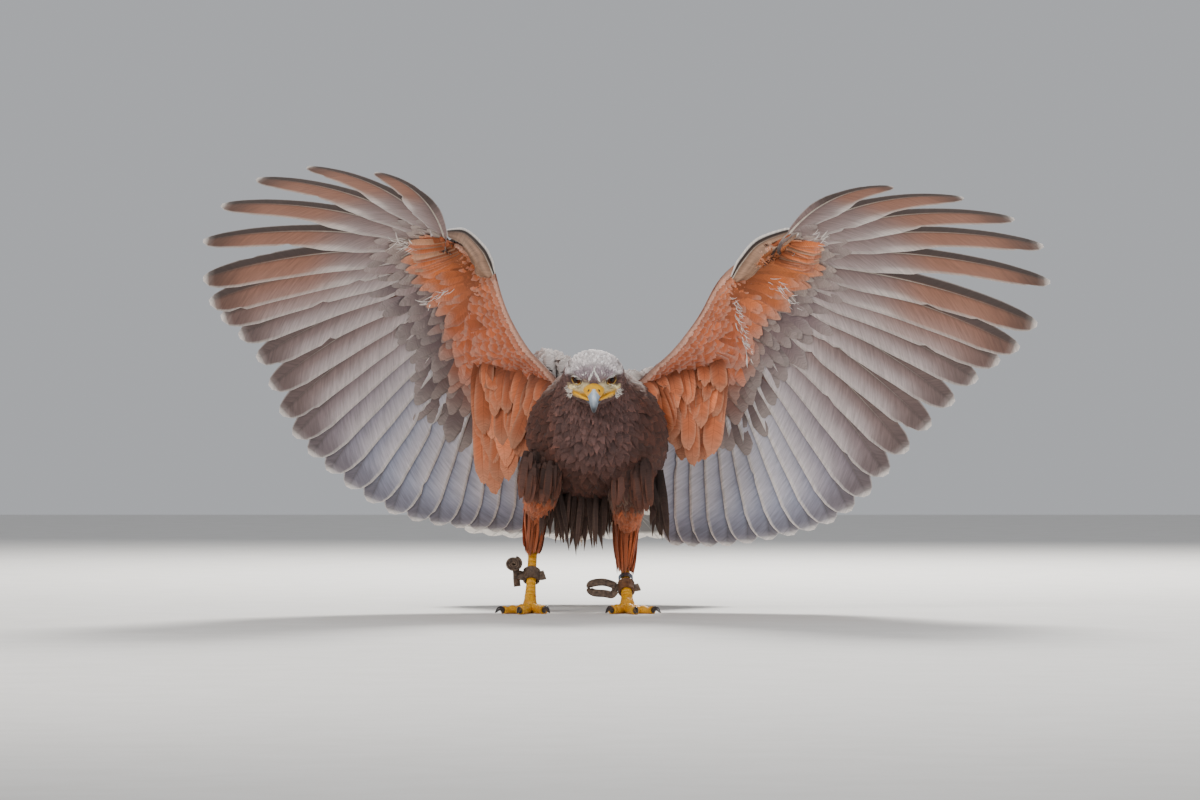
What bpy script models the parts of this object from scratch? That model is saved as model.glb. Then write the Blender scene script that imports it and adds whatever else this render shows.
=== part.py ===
"""A Harris's hawk, life size, standing with both wings raised and fanned.

Metres, +Z up. The bird faces -Y and stands on the plane z = 0, and right and left are its own.
The tables are in millimetres, and MM turns them into metres. Every node is one closed body, and
neighbours keep GAP between them.
"""

import math

import bmesh
import bpy
import numpy as np
from mathutils import Matrix, Vector

MM = 0.001
GAP = 0.3

# Body from the tail root to the back of the head: x, y, z, pitch in degrees, half width, up, down.
BODY_RINGS = (
    (0, 172, 127, 14, 24, 12, 15),
    (0, 158, 132, 15, 34, 20, 24),
    (0, 132, 141, 17, 48, 33, 38),
    (0, 100, 152, 18, 60, 46, 52),
    (0, 62, 164, 18, 69, 56, 60),
    (0, 22, 176, 18, 71.5, 61, 61),
    (0, -14, 188, 18, 68, 58, 58),
    (-1, -44, 201, 15, 57, 49, 51),
    (-2, -66, 213, 8, 45, 40, 43),
    (-3, -79, 222, -3, 37.5, 34.5, 37.5),
    (-3, -87, 232, -10, 33, 31, 34),
)
# Head from the ears to the root of the bill: forward, half width, up, down.
HEAD_AT = (-3.0, -100.0, 238.0)
HEAD_PITCH = -21.0
HEAD_RINGS = (
    (-4, 30.5, 26.4, 33),
    (6, 30, 25.8, 28.5),
    (16, 26.5, 22.5, 24.5),
    (24, 21.5, 16, 20.5),
    (30, 15, 8, 16.5),
    (33, 10.5, 4.5, 14),
)
# Lengths of the body: first row, last row and number of rings.
BODY_PARTS = {"torso": (0, 7.4, 13), "neck": (7.4, 9.5, 5)}
BODY_SIDES = 20
HEAD_SIDES = 24

# The eye's place from the head's middle, as forward, side and up, its radius and outward turn.
EYE_AT = (15.5, 13.5, 4.0)
EYE_RADIUS = 7.4
EYE_TURN = 38.0
LID_RADIUS = 5.2
LID_THICK = 0.95
MOUTH_UP = -10.0
MOUTH_GAP = 0.8
GAPE_FORWARD = 21.5

# Legs: knee, hock and ankle, and the turn of the foot from straight ahead.
LEGS = {
    "right": ((-56, 4, 134), (-64, 84, 80), (-67, 38, 15), -12),
    "left": ((33, 4, 122), (27, 90, 66), (30, 36, 15), 10),
}
TARSUS_RADIUS = 4.7
SCUTES = 8
# Toes: turn in degrees, length, radius at the root and at the end, claw length.
TOES = {
    "inner": (-36, 34, 5.4, 4.2, 21),
    "middle": (0, 47, 5.2, 4.0, 18),
    "outer": (34, 37, 4.9, 3.8, 16),
    "hind": (172, 27, 5.6, 4.4, 24),
}

# Wings, by place along the row of flight feathers: 0 to 9 are the primaries from the outermost,
# 10 to 20 the secondaries and up to 23 the tertials, and 26 is inside the shoulder.
PLACES = (0, 1, 2, 4, 5, 7, 9, 11, 14, 17, 20, 23)
TIPS = {
    "right": (
        (-212, -242, 434), (-277, -266, 439), (-327, -251, 428), (-384, -169, 370),
        (-387, -122, 334), (-372, -75, 296), (-339, -26, 255), (-317, 17, 200),
        (-271, 60, 142), (-208, 90, 99), (-140, 113, 84), (-86, 134, 78),
    ),
    "left": (
        (285, -228, 421), (353, -242, 410), (403, -231, 390), (443, -159, 330),
        (434, -103, 289), (400, -47, 252), (357, 1, 211), (312, 41, 162),
        (255, 75, 101), (197, 90, 77), (132, 107, 66), (80, 126, 66),
    ),
}
ROOT_PLACES = (0, 9, 15, 20, 23, 26)
ROOTS = {
    "right": (
        (-149, -91, 367), (-134, -5, 347), (-129, 39, 300),
        (-119, 56, 252), (-82, 38, 245), (-42, 7, 222),
    ),
    "left": (
        (183, -80, 369), (150, -5, 334), (139, 40, 292),
        (126, 54, 252), (88, 38, 245), (44, 7, 222),
    ),
}
EDGE_PLACES = (0, 4.5, 9.5, 12, 15, 18, 20.5, 23.5, 26)
EDGES = {
    "right": (
        (-153, -104, 375), (-132, -62, 366), (-105, -10, 349), (-99, -13, 331),
        (-90, -17, 303), (-77, -19, 278), (-66, -19, 262), (-51, -14, 246), (-34, -8, 226),
    ),
    "left": (
        (189, -93, 377), (165, -55, 365), (130, -10, 343), (117, -13, 326),
        (105, -17, 303), (90, -19, 281), (76, -19, 264), (57, -14, 246), (36, -8, 226),
    ),
}
ARM_PARTS = {"hand": (9.5, -0.6), "forearm": (20.5, 9.5), "upper_arm": (26.0, 20.5)}
# Half thickness of the wing's arm at the row of roots, by place.
ARM_PLACES = (0, 9, 12, 20, 26)
ARM_HALF = (5.0, 6.5, 7.5, 8.5, 9.5)
ARM_BEHIND = 6.0

# Feathers as thin vanes. Along each: share of its length and share of its full width.
FLIGHTS = 24
VANE_THICK = 0.62
LAP = 1.9
SUNK = 7.0
FLIGHT = ((0.06, 0.4), (0.36, 1.0), (0.66, 1.0), (0.88, 0.88), (1.0, 0.16))
FINGER = ((0.06, 0.4), (0.36, 1.0), (0.58, 0.86), (0.86, 0.66), (1.0, 0.14))
COVERT = ((0.0, 0.68), (0.62, 1.0), (1.0, 0.3))
# Width of the flight feathers and the share of it ahead of the quill, by place.
FLIGHT_PLACES = (0, 1, 2, 4, 5, 9, 14, 20, 23)
FLIGHT_WIDTHS = (30, 36, 40, 43, 43, 43, 44, 42, 40)
FLIGHT_SHARES = (0.28, 0.28, 0.30, 0.31, 0.32, 0.38, 0.40, 0.42, 0.45)
# Tiers of coverts on each part of the arm: first and last place, number, start and reach behind
# the row of roots, heights above the flight feathers when sunk, at the start and at the tip,
# width, and how many places lie between neighbours.
COVERTS = {
    "hand": (
        (1.0, 8.6, 5, 4, 86, (-1.7, -3.2, -4.6), 33, 1.9),
        (1.7, 8.2, 4, 1, 46, (-2, -5.6, -8.4), 26, 2.17),
        (1.0, 8.6, 4, 4, 80, (1.7, 3.2, 4.2), 38, 2.5),
    ),
    "forearm": (
        (10.3, 19.4, 7, 4, 95, (-3, -4.4, -4.8), 38, 1.52),
        (10.9, 18.7, 5, -16, 54, (-3, -8.8, -9.2), 37, 1.95),
        (10.3, 19.4, 6, 4, 86, (3, 4.4, 4.6), 42, 1.82),
    ),
    "upper_arm": (
        (21.7, 24.4, 4, 3, 118, (-3, -4.6, -12), 25, 0.9),
        (21.7, 24.4, 4, 3, 92, (3, 4.6, 5.4), 27, 0.9),
    ),
}

# Tail: the middle of its root, its slope, the length of its feathers and their fan.
TAIL_ROOT = (0.0, 176.0, 126.5)
TAIL_SLOPE = 15.5
TAIL_LENGTH = 222.0
TAIL_FAN = 33.0
TAIL_FEATHERS = 12
TAIL_SPACING = 3.2
TAIL_WIDTH = 38.0
TAIL_STEP = 1.0
# Tail coverts: number, outermost place, start and reach behind the root, height.
TAIL_COVERTS = ((4, 2.6, 8, 84, 3.0), (4, 3.3, 8, 96, -9.0))

# What it wears: share of the way from ankle to hock, height, inner radius, thickness, flare.
ANKLETS = {"right": (0.34, 13.0, 6.3, 1.6, 0.7), "left": (0.20, 12.0, 6.3, 1.6, 0.7)}
LEG_RING = (0.36, 5.5, 6.5, 1.0, 0.0)
STRAP_HALF = 0.9
FLAP_LENGTH = 6.5
# The short leather ends, from beside the anklet.
JESS_ROUTES = {
    "right": ((-1.2, 0, -11), (-2.0, 0, -4), (-2.4, 0, 5), (-4, 0, 15)),
    "left": (
        (-1, 0, 4), (-9, -1, 5.5), (-19, -2, 4), (-22, -3, -1),
        (-17, -3, -5), (-6, -3, -6), (1, -3, -7),
    ),
}


def unit(vector):
    return vector / np.linalg.norm(vector)


def smooth(places, values, at):
    """Value at a place on a smooth curve through the rows of values, straight beyond its ends."""
    places, values = np.asarray(places, float), np.asarray(values, float)
    slopes = np.gradient(values, places, axis=0)
    if at <= places[0]:
        return values[0] + slopes[0] * (at - places[0])
    if at >= places[-1]:
        return values[-1] + slopes[-1] * (at - places[-1])
    i = int(np.searchsorted(places, at)) - 1
    span = places[i + 1] - places[i]
    t = (at - places[i]) / span
    return (
        (2 * t**3 - 3 * t**2 + 1) * values[i]
        + (t**3 - 2 * t**2 + t) * span * slopes[i]
        + (3 * t**2 - 2 * t**3) * values[i + 1]
        + (t**3 - t**2) * span * slopes[i + 1]
    )


class Curve:
    """The smoothest curve through rows of values, straight beyond its ends."""

    def __init__(self, places, rows):
        self.places, self.rows = np.array(places, float), np.array(rows, float)
        steps = np.diff(self.places)
        slopes = np.diff(self.rows, axis=0) / steps[:, None]
        matrix, sides = np.eye(len(places)), np.zeros_like(self.rows)
        for i in range(1, len(places) - 1):
            matrix[i, i - 1 : i + 2] = steps[i - 1], 2 * (steps[i - 1] + steps[i]), steps[i]
            sides[i] = 6 * (slopes[i] - slopes[i - 1])
        self.bends = np.linalg.solve(matrix, sides)
        self.first = slopes[0] - steps[0] * self.bends[1] / 6
        self.last = slopes[-1] + steps[-1] * self.bends[-2] / 6

    def __call__(self, at):
        places, rows = self.places, self.rows
        if at <= places[0]:
            return rows[0] + self.first * (at - places[0])
        if at >= places[-1]:
            return rows[-1] + self.last * (at - places[-1])
        i = int(np.searchsorted(places, at)) - 1
        step, past, left = places[i + 1] - places[i], at - places[i], places[i + 1] - at
        low, high = self.bends[i], self.bends[i + 1]
        return (
            (low * left**3 + high * past**3) / (6 * step)
            + (rows[i] / step - low * step / 6) * left
            + (rows[i + 1] / step - high * step / 6) * past
        )


def from_hex(colour):
    channels = [int(colour[i : i + 2], 16) / 255 for i in (0, 2, 4)]
    return [c / 12.92 if c <= 0.04045 else ((c + 0.055) / 1.055) ** 2.4 for c in channels] + [1]


def finish(name, colour, roughness, metallic=0.0):
    material = bpy.data.materials.new(name)
    material.use_nodes = True
    shader = material.node_tree.nodes["Principled BSDF"]
    shader.inputs["Base Color"].default_value = from_hex(colour)
    shader.inputs["Roughness"].default_value = roughness
    shader.inputs["Metallic"].default_value = metallic
    return material


def solid(name, points, faces, material=None):
    """An object from points in millimetres and faces, with the faces turned outwards."""
    mesh = bpy.data.meshes.new(name)
    mesh.from_pydata([tuple(p * MM) for p in np.asarray(points)], [], faces)
    bm = bmesh.new()
    bm.from_mesh(mesh)
    bmesh.ops.recalc_face_normals(bm, faces=bm.faces)
    bm.to_mesh(mesh)
    bm.free()
    if material:
        mesh.materials.append(material)
    obj = bpy.data.objects.new(name, mesh)
    bpy.context.scene.collection.objects.link(obj)
    return obj


def loft(name, rings, material=None):
    """A closed body through rings of points, with a fan of faces over each end."""
    rings = np.asarray(rings, float)
    count, sides = rings.shape[:2]
    points = list(rings.reshape(-1, 3)) + [rings[0].mean(axis=0), rings[-1].mean(axis=0)]
    first, last = len(points) - 2, len(points) - 1
    faces = []
    for i in range(count - 1):
        for j in range(sides):
            a, b = i * sides + j, i * sides + (j + 1) % sides
            faces += [(a, b, b + sides), (a, b + sides, a + sides)]
    for j in range(sides):
        k = (j + 1) % sides
        faces.append((first, k, j))
        faces.append((last, (count - 1) * sides + j, (count - 1) * sides + k))
    return solid(name, points, faces, material)


def oval(centre, side, up, half_width, above, below=None, sides=12):
    """A ring of points with its own height above and below the middle."""
    below = above if below is None else below
    ring = []
    for turn in np.arange(sides) * 2 * math.pi / sides:
        height = above if math.sin(turn) > 0 else below
        ring.append(centre + side * half_width * math.cos(turn) + up * height * math.sin(turn))
    return ring


def across(direction, up=(0, 0, 1)):
    """A level unit vector to the side of a direction, and the unit vector that rises from both."""
    side = unit(np.cross(direction, up))
    return side, np.cross(side, unit(direction))


def ball(name, centre, radii, axes=np.eye(3), sides=14, rings=8, material=None):
    """An egg shape whose half sizes lie along the three axes, the last one through its poles."""
    rows = []
    for tip in (np.arange(1, rings) * math.pi / rings):
        middle = centre + axes[2] * radii[2] * math.cos(tip)
        width = math.sin(tip)
        rows.append(oval(middle, axes[0], axes[1], radii[0] * width, radii[1] * width, sides=sides))
    made = loft(name, rows, material)
    poles = [centre + axes[2] * radii[2], centre - axes[2] * radii[2]]
    for point, pole in zip(list(made.data.vertices)[-2:], poles):
        point.co = pole * MM
    return made


def evaluated(obj):
    """Takes the object's modifiers into its mesh."""
    graph = bpy.context.evaluated_depsgraph_get()
    mesh = bpy.data.meshes.new_from_object(obj.evaluated_get(graph))
    obj.modifiers.clear()
    obj.data = mesh


def boolean(obj, others, operation, solver="EXACT"):
    """One Boolean of the object with a collection of closed meshes, which are then removed."""
    helpers = bpy.data.collections.new(obj.name + "_helpers")
    bpy.context.scene.collection.children.link(helpers)
    for other in others:
        bpy.context.scene.collection.objects.unlink(other)
        helpers.objects.link(other)
    modifier = obj.modifiers.new(operation.lower(), "BOOLEAN")
    modifier.operation = operation
    modifier.operand_type = "COLLECTION"
    modifier.collection = helpers
    modifier.solver = solver
    evaluated(obj)
    for other in others:
        bpy.data.objects.remove(other)
    bpy.data.collections.remove(helpers)
    keep_largest(obj)


def keep_largest(obj):
    """Leaves only the largest closed surface of the object."""
    bm = bmesh.new()
    bm.from_mesh(obj.data)
    bmesh.ops.triangulate(bm, faces=bm.faces)
    left, shells = set(bm.faces), []
    while left:
        shell, edge = set(), [left.pop()]
        while edge:
            face = edge.pop()
            shell.add(face)
            near = {f for e in face.edges for f in e.link_faces} & left
            left -= near
            edge.extend(near)
        volume = sum(
            f.verts[0].co.dot(f.verts[1].co.cross(f.verts[2].co)) / 6 for f in shell
        )
        shells.append((abs(volume), shell))
    largest = max(shells, key=lambda pair: pair[0])[1]
    gone = [f for f in bm.faces if f not in largest]
    bmesh.ops.delete(bm, geom=gone, context="FACES")
    loose = [v for v in bm.verts if not v.link_faces]
    bmesh.ops.delete(bm, geom=loose, context="VERTS")
    bm.to_mesh(obj.data)
    bm.free()


def head_axes():
    """The head's forward, side and up directions."""
    pitch = math.radians(HEAD_PITCH)
    forward = np.array([0, -math.cos(pitch), math.sin(pitch)])
    return forward, np.array([1.0, 0, 0]), np.array([0, math.sin(pitch), math.cos(pitch)])


def in_head(forward, side, up):
    """A place from the head's middle."""
    ahead, aside, upward = head_axes()
    return np.array(HEAD_AT) + ahead * forward + aside * side + upward * up


def flesh_rows():
    """The rings of the body and then of the head, as rows like BODY_RINGS."""
    rows = list(BODY_RINGS)
    for forward, wide, up, down in HEAD_RINGS:
        rows.append((*in_head(forward, 0, 0), HEAD_PITCH, wide, up, down))
    return rows


def flesh_ring(place, sides, grow=0.0, shift=0.0):
    """A ring of the body at a place along its rows, moved along its own axis by shift."""
    rows = np.array(flesh_rows())
    steps = np.linalg.norm(np.diff(rows[:, :3], axis=0), axis=1)
    lengths = np.concatenate([[0], np.cumsum(steps)])
    at = np.interp(place, np.arange(len(rows)), lengths)
    x, y, z, pitch, wide, up, down = smooth(lengths, rows, at)
    tilt = math.radians(pitch)
    forward = np.array([0, -math.cos(tilt), math.sin(tilt)])
    upward = np.array([0, math.sin(tilt), math.cos(tilt)])
    centre = np.array([x, y, z]) + forward * shift
    aside = np.array([1.0, 0, 0])
    return oval(centre, aside, upward, wide + grow, up + grow, down + grow, sides)


def clearance():
    """Cutters a gap larger than the torso and the neck."""
    return [flesh(name, *BODY_PARTS[name], BODY_SIDES, None, GAP) for name in BODY_PARTS]


def flesh(name, start, end, count, sides, material, grow=0.0):
    """A length of the body with half a gap left at each end."""
    rings = []
    for place in np.linspace(start, end, count):
        shift = GAP / 2 if place == start else -GAP / 2 if place == end else 0
        rings.append(flesh_ring(place, sides, grow, shift))
    return loft(name, rings, material)


def eye_place(turn):
    """Middle of an eye and the way that it looks, for turn 1 on the left and -1 on the right."""
    forward, side, up = EYE_AT
    ahead, aside, _ = head_axes()
    angle = math.radians(EYE_TURN)
    return in_head(forward, side * turn, up), unit(
        ahead * math.cos(angle) + aside * turn * math.sin(angle)
    )


def eye_axes(look):
    """Axes with the last one along the way that the eye looks."""
    upward = head_axes()[2]
    aside = unit(np.cross(upward, look))
    return np.array([aside, np.cross(look, aside), look])


def ring_round(name, centre, look, radius, thick, sides=16):
    """A round bead about a direction."""
    axes = eye_axes(look)
    points, faces = [], []
    around = 6
    for turn in np.arange(sides) * 2 * math.pi / sides:
        out = axes[0] * math.cos(turn) + axes[1] * math.sin(turn)
        points += oval(centre + out * radius, out, look, thick, thick, sides=around)
    for i in range(sides):
        for j in range(around):
            a, b = i * around + j, i * around + (j + 1) % around
            c, d = ((i + 1) % sides) * around + j, ((i + 1) % sides) * around + (j + 1) % around
            faces.append((a, b, d, c))
    return solid(name, points, faces)


def head(material):
    """The head with its brows, lids, sockets, ears and the line of the mouth."""
    last = len(flesh_rows()) - 1
    made = flesh("head", BODY_PARTS["neck"][1], last, 13, HEAD_SIDES, material)
    hollows = []
    raised = []
    for turn in (1, -1):
        middle, look = eye_place(turn)
        axes = eye_axes(look)
        dish = middle + look * 13.2
        hollows.append(ball("dish", dish, (12.0, 9.0, 8.6), axes, 16, 10))
        ear = in_head(-3, 30.5 * turn, -4)
        ear_axes = np.array([[0, 1, 0], [0, 0, 1], [turn, 0, 0]])
        hollows.append(ball("ear", ear, (3.6, 4.2, 3.2), ear_axes, 10, 6))
        raised.append(ring_round("lid", middle + look * 5.7, look, LID_RADIUS, LID_THICK))
        ridge = unit(head_axes()[0] * 0.86 + head_axes()[1] * turn * -0.5)
        lift = head_axes()[2]
        brow_axes = np.array([unit(np.cross(lift, ridge)), lift, ridge])
        brow = in_head(18.5, 20.5 * turn, 10.6)
        raised.append(ball("brow", brow, (4.2, 3.0, 9.5), brow_axes, 12, 8))
    boolean(made, hollows, "DIFFERENCE")
    boolean(made, raised, "UNION")
    sockets = []
    for turn in (1, -1):
        middle, look = eye_place(turn)
        radii = [EYE_RADIUS + GAP] * 3
        sockets.append(ball("socket", middle, radii, eye_axes(look), 16, 10))
    sockets.append(mouth_cutter())
    boolean(made, sockets, "DIFFERENCE")
    return made


def mouth_cutter():
    """A thin plate along the line of the mouth, from the gape past the front of the head."""
    low, high = MOUTH_UP - MOUTH_GAP / 2, MOUTH_UP + MOUTH_GAP / 2
    rings = []
    for forward, drop in ((GAPE_FORWARD, -1.0), (27, -0.3), (36, 0.0)):
        rings.append([
            in_head(forward, -26, low + drop), in_head(forward, 26, low + drop),
            in_head(forward, 26, high + drop), in_head(forward, -26, high + drop),
        ])
    return loft("mouth", rings)


def eye(name, turn, material):
    middle, look = eye_place(turn)
    return ball(name, middle, [EYE_RADIUS] * 3, eye_axes(look), 14, 8, material)


def bill_rings(rows, sides):
    """Rings along a bill: forward, up, turn down in degrees, half width, above and below."""
    ahead, aside, upward = head_axes()
    rings = []
    for forward, up, turn, wide, above, below in rows:
        angle = math.radians(turn)
        lift = upward * math.cos(angle) + ahead * math.sin(angle)
        rings.append(oval(in_head(forward, 0, up), aside, lift, wide, above, below, sides))
    return rings


def cere(material):
    """The waxy base of the bill with a nostril in each side."""
    rows = (
        (33 + GAP, -2.6, 0, 10.2, 6.9, 6.6),
        (36, -2.6, 2, 9.6, 7.0, 6.7),
        (39, -3.0, 6, 8.6, 6.8, 6.6),
        (41.6, -3.6, 12, 7.5, 6.3, 6.1),
    )
    made = loft("cere", bill_rings(rows, 16), material)
    nostrils = []
    for turn in (1, -1):
        hole = in_head(38.6, 8.9 * turn, -1.2)
        nostrils.append(ball("nostril", hole, (1.2, 1.9, 2.2), sides=10, rings=6))
    boolean(made, nostrils, "DIFFERENCE")
    return made


def bill_upper(material):
    rows = (
        (42.0, -3.8, 14, 7.2, 6.1, 5.9),
        (45.2, -4.9, 24, 6.1, 5.9, 5.2),
        (48.4, -7.4, 44, 4.8, 5.1, 4.4),
        (50.6, -10.9, 66, 3.5, 3.9, 3.4),
        (51.3, -15.0, 84, 2.1, 2.5, 2.2),
        (50.9, -19.6, 98, 0.5, 0.6, 0.6),
    )
    return loft("bill_upper", bill_rings(rows, 14), material)


def bill_lower(material):
    rows = (
        (33 + GAP, -12.3, 0, 8.6, 1.7, 2.2),
        (38.5, -12.2, 0, 6.9, 1.6, 2.9),
        (42.6, -12.4, -4, 4.6, 1.3, 2.5),
        (45.2, -12.6, -8, 1.8, 0.6, 1.1),
    )
    return loft("bill_lower", bill_rings(rows, 12), material)


def thigh_rings(side, grow=0.0):
    knee, hock, _, _ = LEGS[side]
    knee, hock = np.array(knee, float), np.array(hock, float)
    inward = -np.sign(knee[0])
    aside, upward = across(hock - knee)
    rows = (
        (-0.30, 15, 17, 17, 5), (-0.12, 20, 25, 24, 4), (0.12, 20, 27, 27, 2),
        (0.40, 16, 20, 22, 0), (0.68, 12, 13, 16, 0), (0.90, 9, 9, 12, 0), (1.02, 6.5, 6, 8, 0),
    )
    rings = []
    for along, wide, above, below, tuck in rows:
        centre = knee + (hock - knee) * along + np.array([inward * tuck, 0, 0])
        rings.append(oval(centre, aside, upward, wide + grow, above + grow, below + grow, 14))
    return rings


def thigh(side, material):
    made = loft("thigh_" + side, thigh_rings(side), material)
    boolean(made, clearance(), "DIFFERENCE")
    return made


def tarsus_rings(side, grow=0.0, scuted=True):
    """Rings from inside the thigh to the ankle, stepped in front like overlapping scutes."""
    _, hock, ankle, _ = LEGS[side]
    hock, ankle = np.array(hock, float), np.array(ankle, float)
    aside, upward = across(ankle - hock)
    step = (ankle - hock) / SCUTES
    rings = []
    for i in range(SCUTES):
        for along, raised in ((0.04, 0.0), (0.96, 0.75 if scuted else 0.0)):
            radius = TARSUS_RADIUS + 1.6 * abs(2 * (i + along) / SCUTES - 1) ** 3
            centre = hock + step * (i + along)
            rings.append(oval(
                centre, aside, upward, radius * 0.92 + grow,
                radius + raised + grow, radius * 1.05 + grow, 12,
            ))
    return rings


def tarsus(side, material):
    made = loft("tarsus_" + side, tarsus_rings(side), material)
    boolean(made, [loft("thigh", thigh_rings(side, GAP))], "DIFFERENCE")
    return made


def toe_path(side, toe):
    """The start, level direction and length of a toe."""
    _, _, ankle, foot_turn = LEGS[side]
    turn, length, *_ = TOES[toe]
    outward = np.sign(ankle[0])
    angle = math.radians(foot_turn + turn * outward)
    ahead = np.array([math.sin(angle), -math.cos(angle), 0])
    return np.array([ankle[0], ankle[1] - 8, 0.0]), ahead, length


def flat_below(ring):
    """A ring with everything under the floor brought up to it."""
    ring = np.array(ring)
    ring[:, 2] = np.maximum(ring[:, 2], 0)
    return ring


def toe(side, name):
    start, ahead, length = toe_path(side, name)
    root, end = TOES[name][2:4]
    aside = np.cross(ahead, (0, 0, 1))
    up = np.array([0, 0, 1.0])
    rings = []
    joints = 3 if length > 30 else 2
    for along in np.linspace(0, 1, 2 * joints + 1):
        swell = 1 + 0.10 * math.cos(2 * math.pi * joints * along)
        radius = (root + (end - root) * along) * swell
        height = radius * 0.86
        centre = start + ahead * length * along + up * height
        rings.append(flat_below(oval(centre, aside, up, radius, radius, sides=10)))
    return loft("toe", rings)


def claw(side, name, material):
    """A claw that curves down from its toe and stops just above the floor."""
    start, ahead, length = toe_path(side, name)
    end, claw_length = TOES[name][3:5]
    aside = np.cross(ahead, (0, 0, 1))
    base = start + ahead * (length + GAP) + np.array([0, 0, end * 0.95])
    rings = []
    for along in np.linspace(0, 1, 6):
        bend = math.radians(-18 + 92 * along)
        forward = claw_length * math.sin(1.25 * along) / 1.25 * 0.95
        rise = 2.2 * math.sin(math.pi * min(along * 1.35, 1)) - (end * 0.95 - 1.3) * along**2
        centre = base + ahead * forward + np.array([0, 0, rise])
        lift = np.array([0, 0, 1]) * math.cos(bend) + ahead * math.sin(bend)
        if along == 0:
            lift = np.array([0, 0, 1.0])
        radius = end * 0.78 * (1 - along) ** 0.75 + 0.3
        rings.append(oval(centre, aside, lift, radius * 0.8, radius, sides=7))
    return loft("claw_" + name + "_" + side, rings, material)


def foot(side, material):
    """The pad under the ankle with its four toes."""
    _, hock, ankle, _ = LEGS[side]
    hock, ankle = np.array(hock, float), np.array(ankle, float)
    down = unit(ankle - hock)
    aside, upward = across(down)
    rings = []
    for along, radius in ((GAP, 5.9), (4, 6.4), (9, 7.4), (14, 7.0)):
        centre = ankle + down * along
        rings.append(flat_below(oval(centre, aside, upward, radius, radius, sides=12)))
    made = loft("foot_" + side, rings, material)
    boolean(made, [toe(side, name) for name in TOES], "UNION")
    return made


def on_tarsus(side, share):
    """A place on the leg's bone, and the unit vector up it."""
    _, hock, ankle, _ = LEGS[side]
    hock, ankle = np.array(hock, float), np.array(ankle, float)
    return ankle + (hock - ankle) * share, unit(hock - ankle)


def band(name, side, sizes, material, sides=18):
    """A band round a leg, waisted where flare widens its two rims."""
    share, height, inner, thick, flare = sizes
    centre, along = on_tarsus(side, share)
    aside, upward = across(along)
    outer = inner + thick
    outline = ((-0.5, inner), (-0.5, outer + flare), (0, outer), (0.5, outer + flare), (0.5, inner))
    points, faces = [], []
    for turn in np.arange(sides) * 2 * math.pi / sides:
        out = aside * math.cos(turn) + upward * math.sin(turn)
        points += [centre + along * height * rise + out * radius for rise, radius in outline]
    rim = len(outline)
    for i in range(sides):
        for j in range(rim):
            a, b = i * rim + j, i * rim + (j + 1) % rim
            c, d = (i + 1) % sides * rim + j, (i + 1) % sides * rim + (j + 1) % rim
            faces.append((a, b, d, c))
    return solid(name, points, faces, material)


def strap(name, route, across_strap, half_width, half_thick=STRAP_HALF, material=None):
    """A flat strap along a route of points, its width along one direction."""
    route = [np.array(point, float) for point in route]
    rings = []
    for i, point in enumerate(route):
        ahead = unit(route[min(i + 1, len(route) - 1)] - route[max(i - 1, 0)])
        wide = unit(across_strap - ahead * np.dot(across_strap, ahead))
        thin = np.cross(ahead, wide)
        rings.append([
            point + wide * half_width * x + thin * half_thick * y
            for x, y in ((-1, -1), (1, -1), (1, 1), (-1, 1))
        ])
    return loft(name, rings, material)


def anklet(side, material):
    """A leather cuff with the tied ends of its leather standing out on both sides."""
    made = band("anklet_" + side, side, ANKLETS[side], material)
    share, height, inner, thick, _ = ANKLETS[side]
    centre, along = on_tarsus(side, share)
    flaps = []
    for turn in (1, -1):
        out = np.array([turn, 0, 0])
        start = centre + out * (inner + thick * 0.4)
        route = (start, start + out * 3, start + out * FLAP_LENGTH + along)
        flaps.append(strap("flap", route, along, height * 0.42))
    boolean(made, flaps, "UNION")
    return made


def jess(side, material):
    """The short leather end beside each anklet: a rolled button on the right, a fold on the left."""
    share, _, inner, thick, _ = ANKLETS[side]
    centre, _ = on_tarsus(side, share)
    start = centre - np.array([inner + thick + FLAP_LENGTH + GAP + STRAP_HALF, 0, 0])
    route = start + np.array(JESS_ROUTES[side], float)
    made = strap("jess_" + side, route, (0, 1, 0.15), 4.2, STRAP_HALF, material)
    if side == "right":
        axes = np.array([[1.0, 0, 0], [0, 0, 1], [0, -1.0, 0]])
        roll = start + np.array([-6.0, 0, 17])
        boolean(made, [ball("roll", roll, (5.0, 6.4, 6.2), axes, 12, 8)], "UNION")
    return made


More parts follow.
